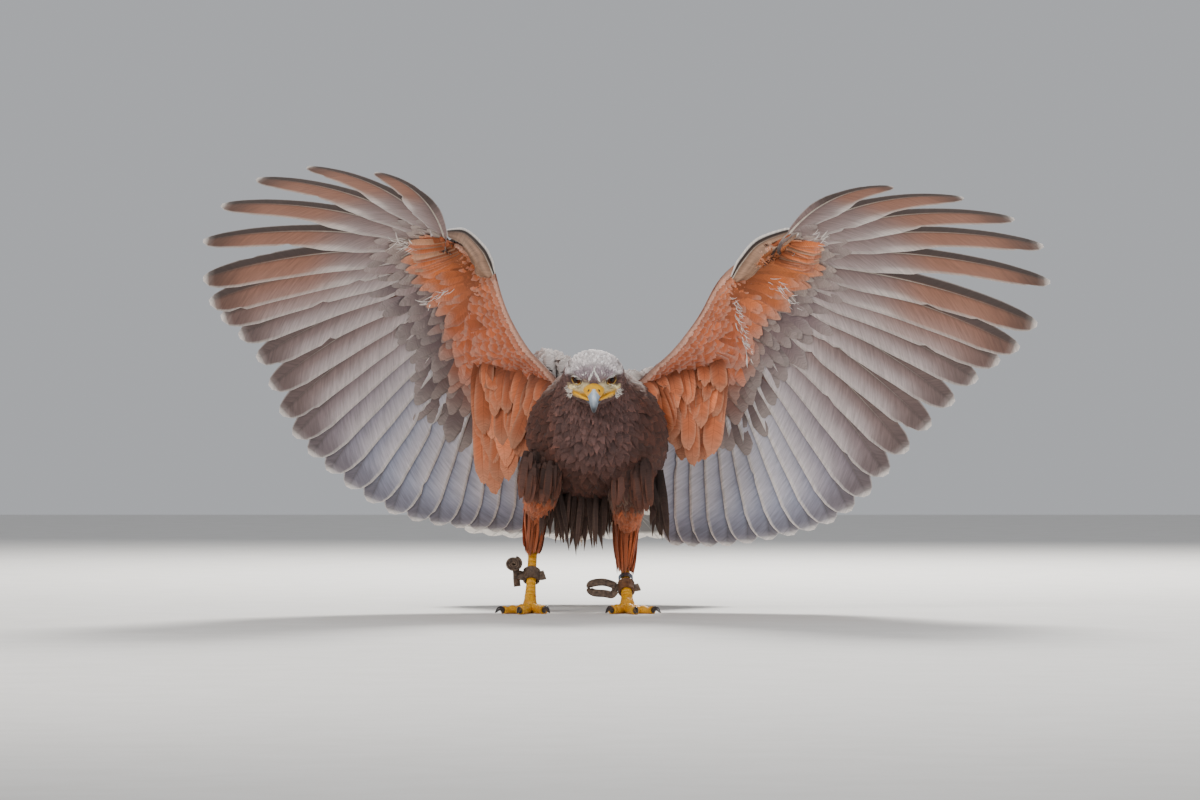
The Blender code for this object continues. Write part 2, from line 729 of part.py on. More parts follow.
class Wing:
    """Where the feathers of one wing lie, from the tables."""

    def __init__(self, side):
        self.hand = 1.0 if side == "left" else -1.0
        self.root = Curve(ROOT_PLACES, ROOTS[side])
        self.edge = Curve(EDGE_PLACES, EDGES[side])
        self.tip = Curve(PLACES, TIPS[side])

    def straight(self, place):
        """A feather's root, its tip and the directions across and out of the wing between them."""
        root, tip = self.root(place), self.tip(place)
        ahead = unit(tip - root)
        lead = self.root(place - 0.5) + self.tip(place - 0.5)
        lead = lead - self.root(place + 0.5) - self.tip(place + 0.5)
        lead = unit(lead - ahead * lead.dot(ahead))
        return root, tip, lead, -self.hand * np.cross(ahead, lead)

    def axis(self, place, along):
        """A point on the quill, which bows towards the leading edge and out of the wing's back."""
        root, tip, lead, back = self.straight(place)
        length = np.linalg.norm(tip - root)
        outward = math.exp(-place / 4.5)
        bow, rise = 0.03 + 0.10 * outward, 0.06 + 0.04 * outward
        middle = (root + tip) / 2 + (lead * bow + back * rise) * length
        return (1 - along) ** 2 * root + 2 * along * (1 - along) * middle + along**2 * tip

    def frame(self, place, along):
        """At a point on the quill: it, the way to the next quill, the back's normal, the distance."""
        here = self.axis(place, along)
        ahead = unit(self.axis(place, along + 0.02) - self.axis(place, along - 0.02))
        lead = self.axis(place - 0.5, along) - self.axis(place + 0.5, along)
        lead = lead - ahead * lead.dot(ahead)
        apart = np.linalg.norm(lead)
        lead = lead / apart
        return here, lead, -self.hand * np.cross(ahead, lead), apart

    def length(self, place):
        return np.linalg.norm(self.tip(place) - self.root(place))

    def at(self, place, distance):
        """The frame at a distance behind the row of roots, or inside the arm ahead of it."""
        if distance >= 0:
            return self.frame(place, distance / self.length(place))
        here, lead, back, apart = self.frame(place, 0.0)
        chord = unit(self.edge(place) - self.root(place))
        return here - chord * distance, lead, back, apart

    def bend(self, place, distance):
        """How sharply the wing's surface bends across the feather at a place."""
        distance = max(distance, 0)
        here, lead, back, apart = self.at(place, distance)
        outer, inner = self.at(place - 0.5, distance)[0], self.at(place + 0.5, distance)[0]
        ahead = unit(self.at(place, distance + 2)[0] - here)
        slant = np.dot(outer - inner, ahead) / 2
        before = self.at(place - 0.5, max(distance - slant, 0))[2]
        after = self.at(place + 0.5, max(distance + slant, 0))[2]
        return np.dot(before - after, lead) / apart

    def section(self, place, grow=0.0, shift=0.0):
        """A section of the arm from its leading edge to just behind the row of roots."""
        edge, root = self.edge(place), self.root(place)
        chord = root - edge
        length = np.linalg.norm(chord)
        chord = chord / length
        span = self.root(place - 0.4) - self.root(place + 0.4)
        span = unit(span - chord * span.dot(chord))
        fold = np.cross(chord, unit(self.tip(place) - root))
        fold *= np.sign(fold.dot(span))
        share = np.clip((np.linalg.norm(fold) - 0.2) / 0.4, 0, 1)
        span = unit(span * (1 - share) + unit(fold) * share)
        back = -self.hand * np.cross(chord, span)
        half = np.interp(place, ARM_PLACES, ARM_HALF)
        outline = (
            (0.0, 0.0), (0.08, 3.0), (0.5, 4.2), (0.85, half), (1.0, half * 0.92),
        )
        tail = length + ARM_BEHIND
        ring = [(x * length, y) for x, y in outline] + [(tail, 0)]
        ring += [(x * length, -y) for x, y in reversed(outline[1:])]
        points = []
        for along, out in ring:
            along += grow * (along > 0.99 * tail) - grow * (along < 0.01)
            out += grow * np.sign(out)
            points.append(edge + chord * along + back * out + span * shift)
        return points


def arm_core(wing, start, end, name, material=None, grow=0.0):
    """A length of the arm between two places, with half a gap left at each end, or a cutter for it."""
    rings = []
    inset = -0.1 if grow else GAP / 2
    for place in np.linspace(start, end, 1 + math.ceil(abs(start - end) / 2.4)):
        shift = inset if place == start else -inset if place == end else 0
        rings.append(wing.section(place, grow, shift))
    return loft(name, rings, material)


class Tail:
    """Where the tail feathers lie, by place from the middle, one apart."""

    def __init__(self):
        slope = math.radians(TAIL_SLOPE)
        self.behind = np.array([0, math.cos(slope), -math.sin(slope)])
        self.up = np.array([0, math.sin(slope), math.cos(slope)])

    def axis(self, place, along):
        outermost = (TAIL_FEATHERS - 1) / 2
        angle = math.radians(TAIL_FAN * place / outermost)
        length = TAIL_LENGTH - 14 * (place / outermost) ** 2
        aside = np.array([1.0, 0, 0])
        root = np.array(TAIL_ROOT) + aside * TAIL_SPACING * place
        ahead = self.behind * math.cos(angle) + aside * math.sin(angle)
        bow = self.up * 4 * along * (1 - along) * 0.02 * length
        return root + ahead * along * length + bow

    def at(self, place, distance):
        """At a distance behind the root: a point, the way to the next quill, up, their distance."""
        along = distance / TAIL_LENGTH
        here = self.axis(place, along)
        ahead = unit(self.axis(place, along + 0.02) - self.axis(place, along - 0.02))
        lead = self.axis(place + 0.5, along) - self.axis(place - 0.5, along)
        lead = lead - ahead * lead.dot(ahead)
        apart = np.linalg.norm(lead)
        lead = lead / apart
        return here, lead, np.cross(lead, ahead), apart


def blade(stations):
    """A thin closed vane, split into triangles alike on both faces.

    A station is a point on the quill, the way to the leading edge, the normal, the widths ahead of
    the quill and behind it, the rise of the vane towards its leading edge, the bend of the
    surface across it, and its half thickness.
    """
    points, faces = [], []
    for here, lead, back, ahead, behind, rise, bend, half in stations:
        for x, y in ((ahead, half), (-behind, half), (-behind, -half), (ahead, -half)):
            points.append(here + lead * x + back * (x * rise - x * x * bend / 2 + y))
    for i in range(len(stations) - 1):
        for a, b in ((0, 1), (1, 2), (3, 2), (3, 0)):
            low, high = 4 * i, 4 * i + 4
            faces += [(low + a, low + b, high + b), (low + a, high + b, high + a)]
    end = 4 * len(stations) - 4
    faces += [(0, 1, 2), (0, 2, 3), (end, end + 1, end + 2), (end, end + 2, end + 3)]
    return solid("vane", points, faces)


def vane(fan, place, tier, shape, share, borders):
    """A feather of a tier beside the quill at a place, sunk into the node that carries it."""
    _, _, _, start, reach, heights, width, spacing = tier
    sunk_height, start_height, tip_height = heights
    first, last = borders
    stations = []
    for along, full in shape:
        distance = start + (reach - start) * along
        here, lead, back, apart = fan.at(place, distance)
        bend = fan.bend(place, distance)
        height = start_height + (tip_height - start_height) * along
        room = apart * spacing
        most = room * np.interp(distance - max(start, 0), (0, 15, 60), (0.3, 0.6, 1.1)) + 0.5
        ahead = min(width * share * full, most)
        behind = min(width * (1 - share) * full, most)
        if first is not None:
            ahead = min(ahead, (place - first) * apart * 0.94 - GAP)
        if last is not None:
            behind = min(behind, (last - place) * apart * 0.94 - GAP)
        half = VANE_THICK / 2 * (0.6 if along == 1 else 1)
        rise = min(LAP / room, 0.35)
        stations.append((here + back * height, lead, back, ahead, behind, rise, bend, half))
    _, lead, back, *_ = stations[0]
    root = fan.at(place, min(start, 0))[0]
    inward = root - fan.at(place, min(start, 0) + 3)[0]
    here = root + unit(inward) * SUNK + back * sunk_height
    stations.insert(0, (here, lead, back, 2.0, 2.0, 0.0, 0.0, VANE_THICK / 2))
    return blade(stations)


def tiers(fan, rows, shape, borders, share=0.42):
    """The feathers of some tiers, evenly placed."""
    made = []
    for tier in rows:
        first, last, count = tier[:3]
        for place in np.linspace(first, last, count):
            made.append(vane(fan, place, tier, shape, share, borders))
    return made


def flights(wing, start, end, borders):
    """The flight feathers whose places lie between two ends of an arm node."""
    made = []
    for place in range(FLIGHTS):
        if not end < place < start:
            continue
        width = np.interp(place, FLIGHT_PLACES, FLIGHT_WIDTHS)
        share = np.interp(place, FLIGHT_PLACES, FLIGHT_SHARES)
        shape = FINGER if place < 5 else FLIGHT
        tier = (place, place, 1, 0, wing.length(place), (0, 0, 0), width, 1.0)
        made.append(vane(wing, place, tier, shape, share, borders))
    return made


def wing_nodes(side, material):
    """The hand, forearm and upper arm of a wing, each with its own feathers."""
    wing = Wing(side)
    for name, (start, end) in ARM_PARTS.items():
        made = arm_core(wing, start, end, name + "_" + side, material)
        borders = (end if end > 0 else None, start if start < 25 else None)
        feathers = flights(wing, start, end, borders)
        feathers += tiers(wing, COVERTS[name], COVERT, borders)
        boolean(made, feathers, "UNION", "MANIFOLD")
        if name != "hand":
            boolean(made, clearance(), "DIFFERENCE", "MANIFOLD")


def alula(side, material):
    """The thumb with its few short feathers, bowed over the leading edge of the hand."""
    wing = Wing(side)
    _, lead, back, _ = wing.frame(4, 0.0)
    root, tip = wing.edge(8.3), wing.edge(0.2)
    ahead = unit(tip - root)
    lead = unit(lead - ahead * lead.dot(ahead))
    centre = root + lead * 3.5 + ahead * 4
    axes = np.array([lead, np.cross(ahead, lead), ahead])
    made = ball("alula_" + side, centre, (4.2, 4.0, 9.0), axes, 10, 8, material)
    middle = (root + tip) / 2 + lead * 30
    rings = []
    for along in np.linspace(0.08, 1, 7):
        here = (1 - along) ** 2 * root + 2 * along * (1 - along) * middle + along**2 * (tip + lead * 9)
        half = 8.5 * (1 - abs(2 * along - 0.9) ** 3) if along < 0.95 else 2.5
        here = here + lead * 3.5
        rings.append([
            here + lead * x * max(half, 2.5) + back * y * 0.5
            for x, y in ((-1, -1), (1, -1), (1, 1), (-1, 1))
        ])
    boolean(made, [loft("alula_vane", rings)], "UNION")
    hand = arm_core(wing, *ARM_PARTS["hand"], "clearance", grow=GAP)
    boolean(made, [hand], "DIFFERENCE", "MANIFOLD")
    return made


def tail(material):
    """The root of the tail, face to face with the torso, and its fan."""
    fan = Tail()
    rings = [flesh_ring(0, BODY_SIDES, 0, -GAP / 2)]
    aside = np.array([1.0, 0, 0])
    for behind, wide, up, down in ((10, 22, 9, 11), (20, 20, 7, 7.5), (28, 15, 3.5, 3.5)):
        centre = np.array(TAIL_ROOT) + fan.behind * (behind - 4)
        rings.append(oval(centre, aside, fan.up, wide, up, down, BODY_SIDES))
    made = loft("tail", rings, material)
    feathers = []
    for i in range(TAIL_FEATHERS):
        place = i - (TAIL_FEATHERS - 1) / 2
        below = -TAIL_STEP * (abs(place) - 0.5 + (place < 0))
        feathers.append(flat_vane(fan, place, 14, TAIL_LENGTH, below, TAIL_WIDTH, FLIGHT))
    for count, spread, start, reach, height in TAIL_COVERTS:
        for i, place in enumerate(np.linspace(-spread, spread, count)):
            layer = height + TAIL_STEP * (i % 2) * np.sign(height)
            feathers.append(flat_vane(fan, place, start, reach, layer, 24, COVERT))
    boolean(made, feathers, "UNION")
    return made


def flat_vane(fan, place, start, reach, height, width, shape):
    """A tail feather at its own height, so that it lies clear above or below its neighbours."""
    stations = []
    for along, full in ((-SUNK / (reach - start), 0.1), *shape):
        here, lead, up, apart = fan.at(place, start + (reach - start) * along)
        wide = min(width * full / 2, apart * 1.5 + 2)
        half = VANE_THICK / 2 * (0.6 if along == 1 else 1)
        stations.append((here + up * height, lead, up, wide, wide, 0.0, 0.0, half))
    return blade(stations)


def centre_on_floor():
    """Moves every body so that the middle of the whole, at floor level, is the origin."""
    meshes = [obj.data for obj in bpy.data.objects]
    points = np.array([v.co for mesh in meshes for v in mesh.vertices])
    low, high = points.min(axis=0), points.max(axis=0)
    shift = Vector((*(-(low + high) / 2)[:2], -low[2]))
    for mesh in meshes:
        mesh.transform(Matrix.Translation(shift))


def main():
    for obj in list(bpy.data.objects):
        bpy.data.objects.remove(obj)
    brown = finish("dark brown feathers", "2f211b", 0.8)
    grey = finish("grey flight feathers", "8d7f80", 0.75)
    rufous = finish("rufous thigh feathers", "9c4a24", 0.8)
    yellow = finish("yellow scaled skin", "d9a520", 0.5)
    horn = finish("dark horn", "2c2b2e", 0.3)
    blue_horn = finish("blue-grey horn", "6f7c8c", 0.35)
    iris = finish("wet dark eye", "2a1408", 0.08)
    leather = finish("brown leather", "5b3a26", 0.7)
    steel = finish("leg ring metal", "aab2bc", 0.3, 1.0)

    for name, span in BODY_PARTS.items():
        flesh(name, *span, BODY_SIDES, brown)
    head(brown)
    eye("eye_left", 1, iris)
    eye("eye_right", -1, iris)
    cere(yellow)
    bill_upper(blue_horn)
    bill_lower(blue_horn)
    for side in LEGS:
        thigh(side, rufous)
        tarsus(side, yellow)
        foot(side, yellow)
        for name in TOES:
            claw(side, name, horn)
        wing_nodes(side, grey)
        alula(side, grey)
        anklet(side, leather)
        jess(side, leather)
    band("leg_ring_left", "left", LEG_RING, steel)
    tail(grey)
    centre_on_floor()


main()
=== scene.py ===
"""Harris's hawk with raised wings: its skin, feathers, head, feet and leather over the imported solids.

The tables repeat the part's own numbers, in millimetres and in the part's own place before it was
centred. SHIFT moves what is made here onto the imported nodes.
"""

import math

import bmesh
import bpy
import numpy as np
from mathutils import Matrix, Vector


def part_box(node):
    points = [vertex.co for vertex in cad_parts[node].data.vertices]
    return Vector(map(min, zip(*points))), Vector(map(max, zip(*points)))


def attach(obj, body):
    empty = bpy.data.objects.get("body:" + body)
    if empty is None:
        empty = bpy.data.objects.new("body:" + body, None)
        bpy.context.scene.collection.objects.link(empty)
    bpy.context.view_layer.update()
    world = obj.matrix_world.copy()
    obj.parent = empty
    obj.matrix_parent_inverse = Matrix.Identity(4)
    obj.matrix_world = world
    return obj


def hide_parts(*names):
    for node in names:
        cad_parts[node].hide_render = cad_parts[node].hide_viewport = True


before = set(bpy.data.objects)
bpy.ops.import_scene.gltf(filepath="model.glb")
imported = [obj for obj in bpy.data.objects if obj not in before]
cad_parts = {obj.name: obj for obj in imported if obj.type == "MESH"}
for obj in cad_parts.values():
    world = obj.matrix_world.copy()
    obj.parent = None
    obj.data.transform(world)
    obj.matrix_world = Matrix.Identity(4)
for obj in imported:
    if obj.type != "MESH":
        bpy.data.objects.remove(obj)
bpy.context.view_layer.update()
bpy.ops.object.select_all(action="DESELECT")

MM = 0.001
draw = np.random.default_rng(11)

# Body from the tail root to the back of the head: x, y, z, pitch, half width, up, down.
BODY_RINGS = (
    (0, 172, 127, 14, 24, 12, 15),
    (0, 158, 132, 15, 34, 20, 24),
    (0, 132, 141, 17, 48, 33, 38),
    (0, 100, 152, 18, 60, 46, 52),
    (0, 62, 164, 18, 69, 56, 60),
    (0, 22, 176, 18, 71.5, 61, 61),
    (0, -14, 188, 18, 68, 58, 58),
    (-1, -44, 201, 15, 57, 49, 51),
    (-2, -66, 213, 8, 45, 40, 43),
    (-3, -79, 222, -3, 37.5, 34.5, 37.5),
    (-3, -87, 232, -10, 33, 31, 34),
)
HEAD_AT = (-3.0, -100.0, 238.0)
HEAD_PITCH = -21.0
HEAD_RINGS = (
    (-4, 30.5, 26.4, 33),
    (6, 30, 25.8, 28.5),
    (16, 26.5, 22.5, 24.5),
    (24, 21.5, 16, 20.5),
    (30, 15, 8, 16.5),
    (33, 10.5, 4.5, 14),
)
# How deep the coat lies over the skin, by place along the body's rings.
COAT_PLACES = (0, 6, 8, 9.5, 11, 13, 16)
COAT_DEPTHS = (3.0, 5.0, 4.6, 3.6, 2.2, 1.2, 0.4)

EYE_AT = (15.5, 13.5, 4.0)
EYE_RADIUS = 7.4
EYE_TURN = 38.0

# Legs: knee, hock and ankle, and the turn of the foot from straight ahead.
LEGS = {
    "right": ((-56, 4, 134), (-64, 84, 80), (-67, 38, 15), -12),
    "left": ((33, 4, 122), (27, 90, 66), (30, 36, 15), 10),
}
TARSUS_RADIUS = 4.7
SCUTES = 15
TOES = {
    "inner": (-36, 34, 5.4, 4.2, 21),
    "middle": (0, 47, 5.2, 4.0, 18),
    "outer": (34, 37, 4.9, 3.8, 16),
    "hind": (172, 27, 5.6, 4.4, 24),
}

# Wings, by place along the row of flight feathers: 0 to 9 are the primaries from the outermost,
# 10 to 20 the secondaries and up to 23 the tertials, and 26 is inside the shoulder.
PLACES = (0, 1, 2, 4, 5, 7, 9, 11, 14, 17, 20, 23)
TIPS = {
    "right": (
        (-212, -242, 434), (-277, -266, 439), (-327, -251, 428), (-384, -169, 370),
        (-387, -122, 334), (-372, -75, 296), (-339, -26, 255), (-317, 17, 200),
        (-271, 60, 142), (-208, 90, 99), (-140, 113, 84), (-86, 134, 78),
    ),
    "left": (
        (285, -228, 421), (353, -242, 410), (403, -231, 390), (443, -159, 330),
        (434, -103, 289), (400, -47, 252), (357, 1, 211), (312, 41, 162),
        (255, 75, 101), (197, 90, 77), (132, 107, 66), (80, 126, 66),
    ),
}
ROOT_PLACES = (0, 9, 15, 20, 23, 26)
ROOTS = {
    "right": (
        (-149, -91, 367), (-134, -5, 347), (-129, 39, 300),
        (-119, 56, 252), (-82, 38, 245), (-42, 7, 222),
    ),
    "left": (
        (183, -80, 369), (150, -5, 334), (139, 40, 292),
        (126, 54, 252), (88, 38, 245), (44, 7, 222),
    ),
}
EDGE_PLACES = (0, 4.5, 9.5, 12, 15, 18, 20.5, 23.5, 26)
EDGES = {
    "right": (
        (-153, -104, 375), (-132, -62, 366), (-105, -10, 349), (-99, -13, 331),
        (-90, -17, 303), (-77, -19, 278), (-66, -19, 262), (-51, -14, 246), (-34, -8, 226),
    ),
    "left": (
        (189, -93, 377), (165, -55, 365), (130, -10, 343), (117, -13, 326),
        (105, -17, 303), (90, -19, 281), (76, -19, 264), (57, -14, 246), (36, -8, 226),
    ),
}
ARM_PLACES = (0, 9, 12, 20, 26)
ARM_HALF = (5.0, 6.5, 7.5, 8.5, 9.5)
FLIGHTS = 24
LAP = 0.9
FLIGHT_PLACES = (0, 1, 2, 4, 5, 9, 14, 20, 23)
FLIGHT_WIDTHS = (30, 36, 40, 43, 43, 43, 44, 42, 40)
FLIGHT_SHARES = (0.28, 0.28, 0.30, 0.31, 0.32, 0.38, 0.40, 0.42, 0.45)
# Width along a vane: share of its length and share of its full width.
FLIGHT = (
    (0, 0.2), (0.06, 0.45), (0.36, 1.0), (0.66, 1.0), (0.86, 0.9), (0.94, 0.72), (0.98, 0.48), (1, 0.16),
)
FINGER = (
    (0, 0.2), (0.06, 0.45), (0.36, 1.0), (0.50, 0.98), (0.60, 0.80), (0.84, 0.68), (0.94, 0.52),
    (0.98, 0.34), (1, 0.12),
)
COVERT = ((0, 0.5), (0.25, 0.9), (0.6, 1.0), (0.82, 0.97), (0.93, 0.84), (1, 0.5))
BODY_FEATHER = ((0, 0.5), (0.35, 0.95), (0.65, 1.0), (0.88, 0.8), (1, 0.42))
# How deep the roots of body feathers are sunk in the skin.
ROOT_DEPTH = 0.6

TAIL_ROOT = (0.0, 176.0, 126.5)
TAIL_SLOPE = 15.5
TAIL_LENGTH = 222.0
TAIL_FAN = 33.0
TAIL_FEATHERS = 12
TAIL_SPACING = 3.2

ANKLETS = {"right": (0.34, 13.0, 6.3, 1.6, 0.7), "left": (0.20, 12.0, 6.3, 1.6, 0.7)}
LEG_RING = (0.36, 5.5, 6.5, 1.0, 0.0)
FLAP_LENGTH = 6.5
# Each strap from the anklet on, from a place beside its flap, and the way that its width lies.
JESS_ROUTES = {
    "right": ((1.3, 0, -11), (0.5, 0, -4), (0.1, 0, 5), (-1.5, 0, 15)),
    "left": (
        (5, 0, 1.5), (-1, 0, 4), (-9, -1, 5.5), (-19, -2, 4), (-22, -3, -1),
        (-17, -3, -5), (-6, -3, -6), (1, -3, -7), (5, -2, -3),
    ),
}
JESS_WAYS = {"right": (0.75, 0.7, 0.0), "left": (0.0, 0.55, 0.85)}

# The size of a small feather's patch on the bake map, as a share of the map.
BAKE_PATCH = 0.003
# How far feathers stray from even rows, as a share of their spacing.
JITTER = 0.35


def unit(vector):
    return vector / np.linalg.norm(vector, axis=-1, keepdims=True)


def dot(a, b):
    return (np.asarray(a) * b).sum(axis=-1, keepdims=True)


def square_to(way, axis):
    """The part of a way that is square to an axis."""
    return unit(way - axis * dot(way, axis))


def normal_by(lead, ahead, facing):
    """The normal of feathers that lie ahead with their leading edges to lead, on the side facing a way."""
    out = np.cross(lead, ahead)
    return out * np.sign(dot(out, facing))


def bezier(first, middle, last, t):
    return (1 - t) ** 2 * first + 2 * t * (1 - t) * middle + t**2 * last


def slipped(along, columns, width, curl, fray):
    """How far points of feathers slip along them, so that the tips are rounded and the edges frayed."""
    across, along = np.linspace(-1, 1, columns), along[..., None]
    ragged = draw.normal(0, 1, (len(width), along.shape[1], columns)) * fray
    return -(across**2) * along**3 * width[..., None] * curl + ragged * along**2


def linear(colour):
    """A colour in hex as linear red, green and blue."""
    channels = np.array([int(colour[i : i + 2], 16) / 255 for i in (0, 2, 4)])
    return np.where(channels <= 0.04045, channels / 12.92, ((channels + 0.055) / 1.055) ** 2.4)


def ramp(value, low, high):
    """0 below low, 1 above high and smooth between them."""
    share = np.clip((np.asarray(value, float) - low) / (high - low), 0, 1)
    return share * share * (3 - 2 * share)


def blend_tint(first, second, share):
    share = np.asarray(share, float)[..., None]
    return first * (1 - share) + second * share


def circle(sides):
    """Angles round a ring of points."""
    return np.arange(sides) * 2 * math.pi / sides


def ring_at(centre, aside, upward, wide, high, turn):
    """A ring of points round a centre, wide and high millimetres across its two ways."""
    return centre + aside * (wide * np.cos(turn))[:, None] + upward * (high * np.sin(turn))[:, None]


def leg(side):
    """Knee, hock and ankle."""
    return np.array(LEGS[side][:3], float)


def side_of(turn):
    return "left" if turn > 0 else "right"


def head_axes():
    pitch = math.radians(HEAD_PITCH)
    forward = np.array([0, -math.cos(pitch), math.sin(pitch)])
    return forward, np.array([1.0, 0, 0]), np.array([0, math.sin(pitch), math.cos(pitch)])


def in_head(forward, side, up):
    ahead, aside, upward = head_axes()
    return np.array(HEAD_AT) + ahead * forward + aside * side + upward * up


def eye_place(turn):
    """Middle of an eye and the way that it looks, for turn 1 on the left and -1 on the right."""
    forward, side, up = EYE_AT
    ahead, aside, _ = head_axes()
    angle = math.radians(EYE_TURN)
    look = ahead * math.cos(angle) + aside * turn * math.sin(angle)
    return in_head(forward, side * turn, up), unit(look)


def eye_axes(look):
    aside = unit(np.cross(head_axes()[2], look))
    return np.array([aside, np.cross(look, aside), look])


box_low, box_high = (np.array(corner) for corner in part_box("eye_left"))
SHIFT = (box_low + box_high) / 2 / MM - eye_place(1)[0]


def placed(points):
    """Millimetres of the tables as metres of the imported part."""
    return (np.asarray(points, float) + SHIFT) * MM


# Materials


def add(tree, kind, links=(), **settings):
    """Adds a node with its settings, and with values or links on its sockets."""
    made = tree.nodes.new(kind)
    for name, value in settings.items():
        setattr(made, name, value)
    for socket, source in links:
        if isinstance(source, bpy.types.NodeSocket):
            tree.links.new(source, made.inputs[socket])
        else:
            made.inputs[socket].default_value = source
    return made


def new_material(name, roughness, **sockets):
    material = bpy.data.materials.new(name)
    material.use_nodes = True
    shader = material.node_tree.nodes["Principled BSDF"]
    shader.inputs["Roughness"].default_value = roughness
    for socket, value in sockets.items():
        shader.inputs[socket.replace("_", " ")].default_value = value
    return material, material.node_tree, shader


def grained(tree, place, scale, detail, roughness, reach):
    """Noise over a place, and its share by reach: from low, from high, to low and to high."""
    noise = add(tree, "ShaderNodeTexNoise",
                [("Vector", place), ("Scale", scale), ("Detail", detail), ("Roughness", roughness)])
    limits = zip(("From Min", "From Max", "To Min", "To Max"), reach)
    share = add(tree, "ShaderNodeMapRange", [("Value", noise.outputs[0]), *limits])
    return noise.outputs[0], share.outputs[0]


def scaled(tree, colour, share):
    """A colour made darker or lighter by a share."""
    return add(tree, "ShaderNodeVectorMath", [(0, colour), ("Scale", share)], operation="SCALE").outputs[0]


def finished(tree, shader, colour, height, strength, depth):
    """Joins a colour, and a relief depth metres deep, to the shader."""
    tree.links.new(colour, shader.inputs["Base Color"])
    raised = add(tree, "ShaderNodeBump", [("Strength", strength), ("Distance", depth), ("Height", height)])
    tree.links.new(raised.outputs[0], shader.inputs["Normal"])


def feather_finish(name, roughness, low, high, barb=0.55, bump=0.5, slant=0.8):
    """Feather: parallel barbs that leave the quill at a slant, so the light breaks into fine streaks.

    The real barbs are 0.3 mm apart, too fine to show, so they are drawn barb to the millimetre.
    """
    material, tree, shader = new_material(name, roughness, Sheen_Weight=0.06, Sheen_Roughness=0.4)
    tint, vane = (add(tree, "ShaderNodeAttribute", attribute_name=which) for which in ("tint", "vane"))
    across, along, seed = add(tree, "ShaderNodeSeparateXYZ", [(0, vane.outputs["Vector"])]).outputs

    def worked(operation, *values):
        return add(tree, "ShaderNodeMath", enumerate(values), operation=operation).outputs[0]

    slanted = worked("MULTIPLY_ADD", worked("ABSOLUTE", across), -slant, along)
    places = [worked("MULTIPLY", *pair) for pair in ((slanted, barb), (across, 0.06), (seed, 61.0))]
    place = add(tree, "ShaderNodeCombineXYZ", enumerate(places))
    noise, share = grained(tree, place.outputs[0], 1.0, 4.0, 0.65, (0.28, 0.72, low, high))
    finished(tree, shader, scaled(tree, tint.outputs["Color"], share), noise, bump, 0.0004)
    return material


def mottled_finish(name, first, second, roughness, size, bump=0.3, scales=None, **sockets):
    """A surface whose two colours drift over size millimetres, with scales of their own size whose grooves
    are darkened as painted shade.
    """
    material, tree, shader = new_material(name, roughness, **sockets)
    where = add(tree, "ShaderNodeTexCoord").outputs["Object"]
    height, share = grained(tree, where, 1 / (size * MM), 5.0, 0.6, (0.35, 0.65, 0.0, 1.0))
    mixed = add(tree, "ShaderNodeMix", [("Factor", share)], data_type="RGBA")
    for socket in mixed.inputs:
        if socket.type == "RGBA":
            socket.default_value = (*linear(first if socket.name == "A" else second), 1)
    colour = next(output for output in mixed.outputs if output.type == "RGBA")
    if scales:
        cells = add(tree, "ShaderNodeTexVoronoi", [("Vector", where), ("Scale", 1 / (scales * MM))],
                    feature="DISTANCE_TO_EDGE")
        groove_and_shade = add(tree, "ShaderNodeMapRange",
                     [("Value", cells.outputs[0]), ("From Min", 0.0), ("From Max", 0.12),
                      ("To Min", 0.45), ("To Max", 1.0)])
        height = groove_and_shade.outputs[0]
        # The colour darkens in the grooves between the scales: painted shade in the creases.
        colour = scaled(tree, colour, height)
    finished(tree, shader, colour, height, bump, 0.0005)
    return material


def tinted_finish(name, roughness, grain, bump, **sockets):
    """A surface that carries its own markings in its tint, under a fine grain in millimetres."""
    material, tree, shader = new_material(name, roughness, **sockets)
    tint = add(tree, "ShaderNodeAttribute", attribute_name="tint")
    where = add(tree, "ShaderNodeTexCoord").outputs["Object"]
    noise, share = grained(tree, where, 1 / (grain * MM), 4.0, 0.5, (0.3, 0.7, 0.8, 1.15))
    finished(tree, shader, scaled(tree, tint.outputs["Color"], share), noise, bump, 0.0003)
    return material


# Flight feathers are firm and slightly glossy. Body feathers are soft and matt.
FLIGHT_FINISH = feather_finish("firm flight feather", 0.55, 0.72, 1.22, barb=0.42, bump=0.45)
COVERT_FINISH = feather_finish("soft covert feather", 0.72, 0.74, 1.25, barb=0.7, bump=0.5)
BODY_FINISH = feather_finish("soft body feather", 0.85, 0.65, 1.4, barb=0.9, bump=0.6, slant=0.5)
SKIN_FINISH = tinted_finish("bare skin under feathers", 0.8, 2.0, 0.3)
# The horn of the bill is smooth and a little waxy, blue-grey at its root and dark at its tip.
HORN_FINISH = tinted_finish("blue-grey horn", 0.28, 3.0, 0.08, Coat_Weight=0.25)
CLAW_FINISH = mottled_finish("dark polished horn", "1d1b1d", "37312f", 0.25, 6, bump=0.05, Coat_Weight=0.3)
# Waxy yellow skin with small scales between the scutes, darkened in their grooves as painted shade.
YELLOW_FINISH = mottled_finish("waxy yellow scaled skin", "eeae12", "d8900e", 0.42, 5, bump=0.5, scales=1.7)
CERE_FINISH = mottled_finish("waxy yellow bill skin", "f2b80c", "e09c10", 0.36, 4, bump=0.12)
# Vegetable-tanned strap leather, rubbed darker and paler with wear.
LEATHER_FINISH = mottled_finish("worn strap leather", "4a2d1c", "7a5335", 0.62, 4, bump=0.5)
DARK_LEATHER = mottled_finish("weathered strap leather", "33241c", "6a5646", 0.68, 3, bump=0.6)
RING_FINISH = mottled_finish("brushed leg ring metal", "a9b3bf", "7f8fa3", 0.3, 2, bump=0.1, Metallic=1.0)
# The eye is wet: a dark iris under a clear smooth layer.
EYE_FINISH = tinted_finish("wet dark eye", 0.1, 0.8, 0.02, Coat_Weight=0.12, Coat_Roughness=0.02,
                           Specular_IOR_Level=0.1)
LID_FINISH = tinted_finish("yellow lid skin", 0.5, 0.8, 0.3)
FLOOR_FINISH = mottled_finish("pale studio floor", "d9d7d3", "dfddda", 0.8, 60, bump=0.02)


# Meshes


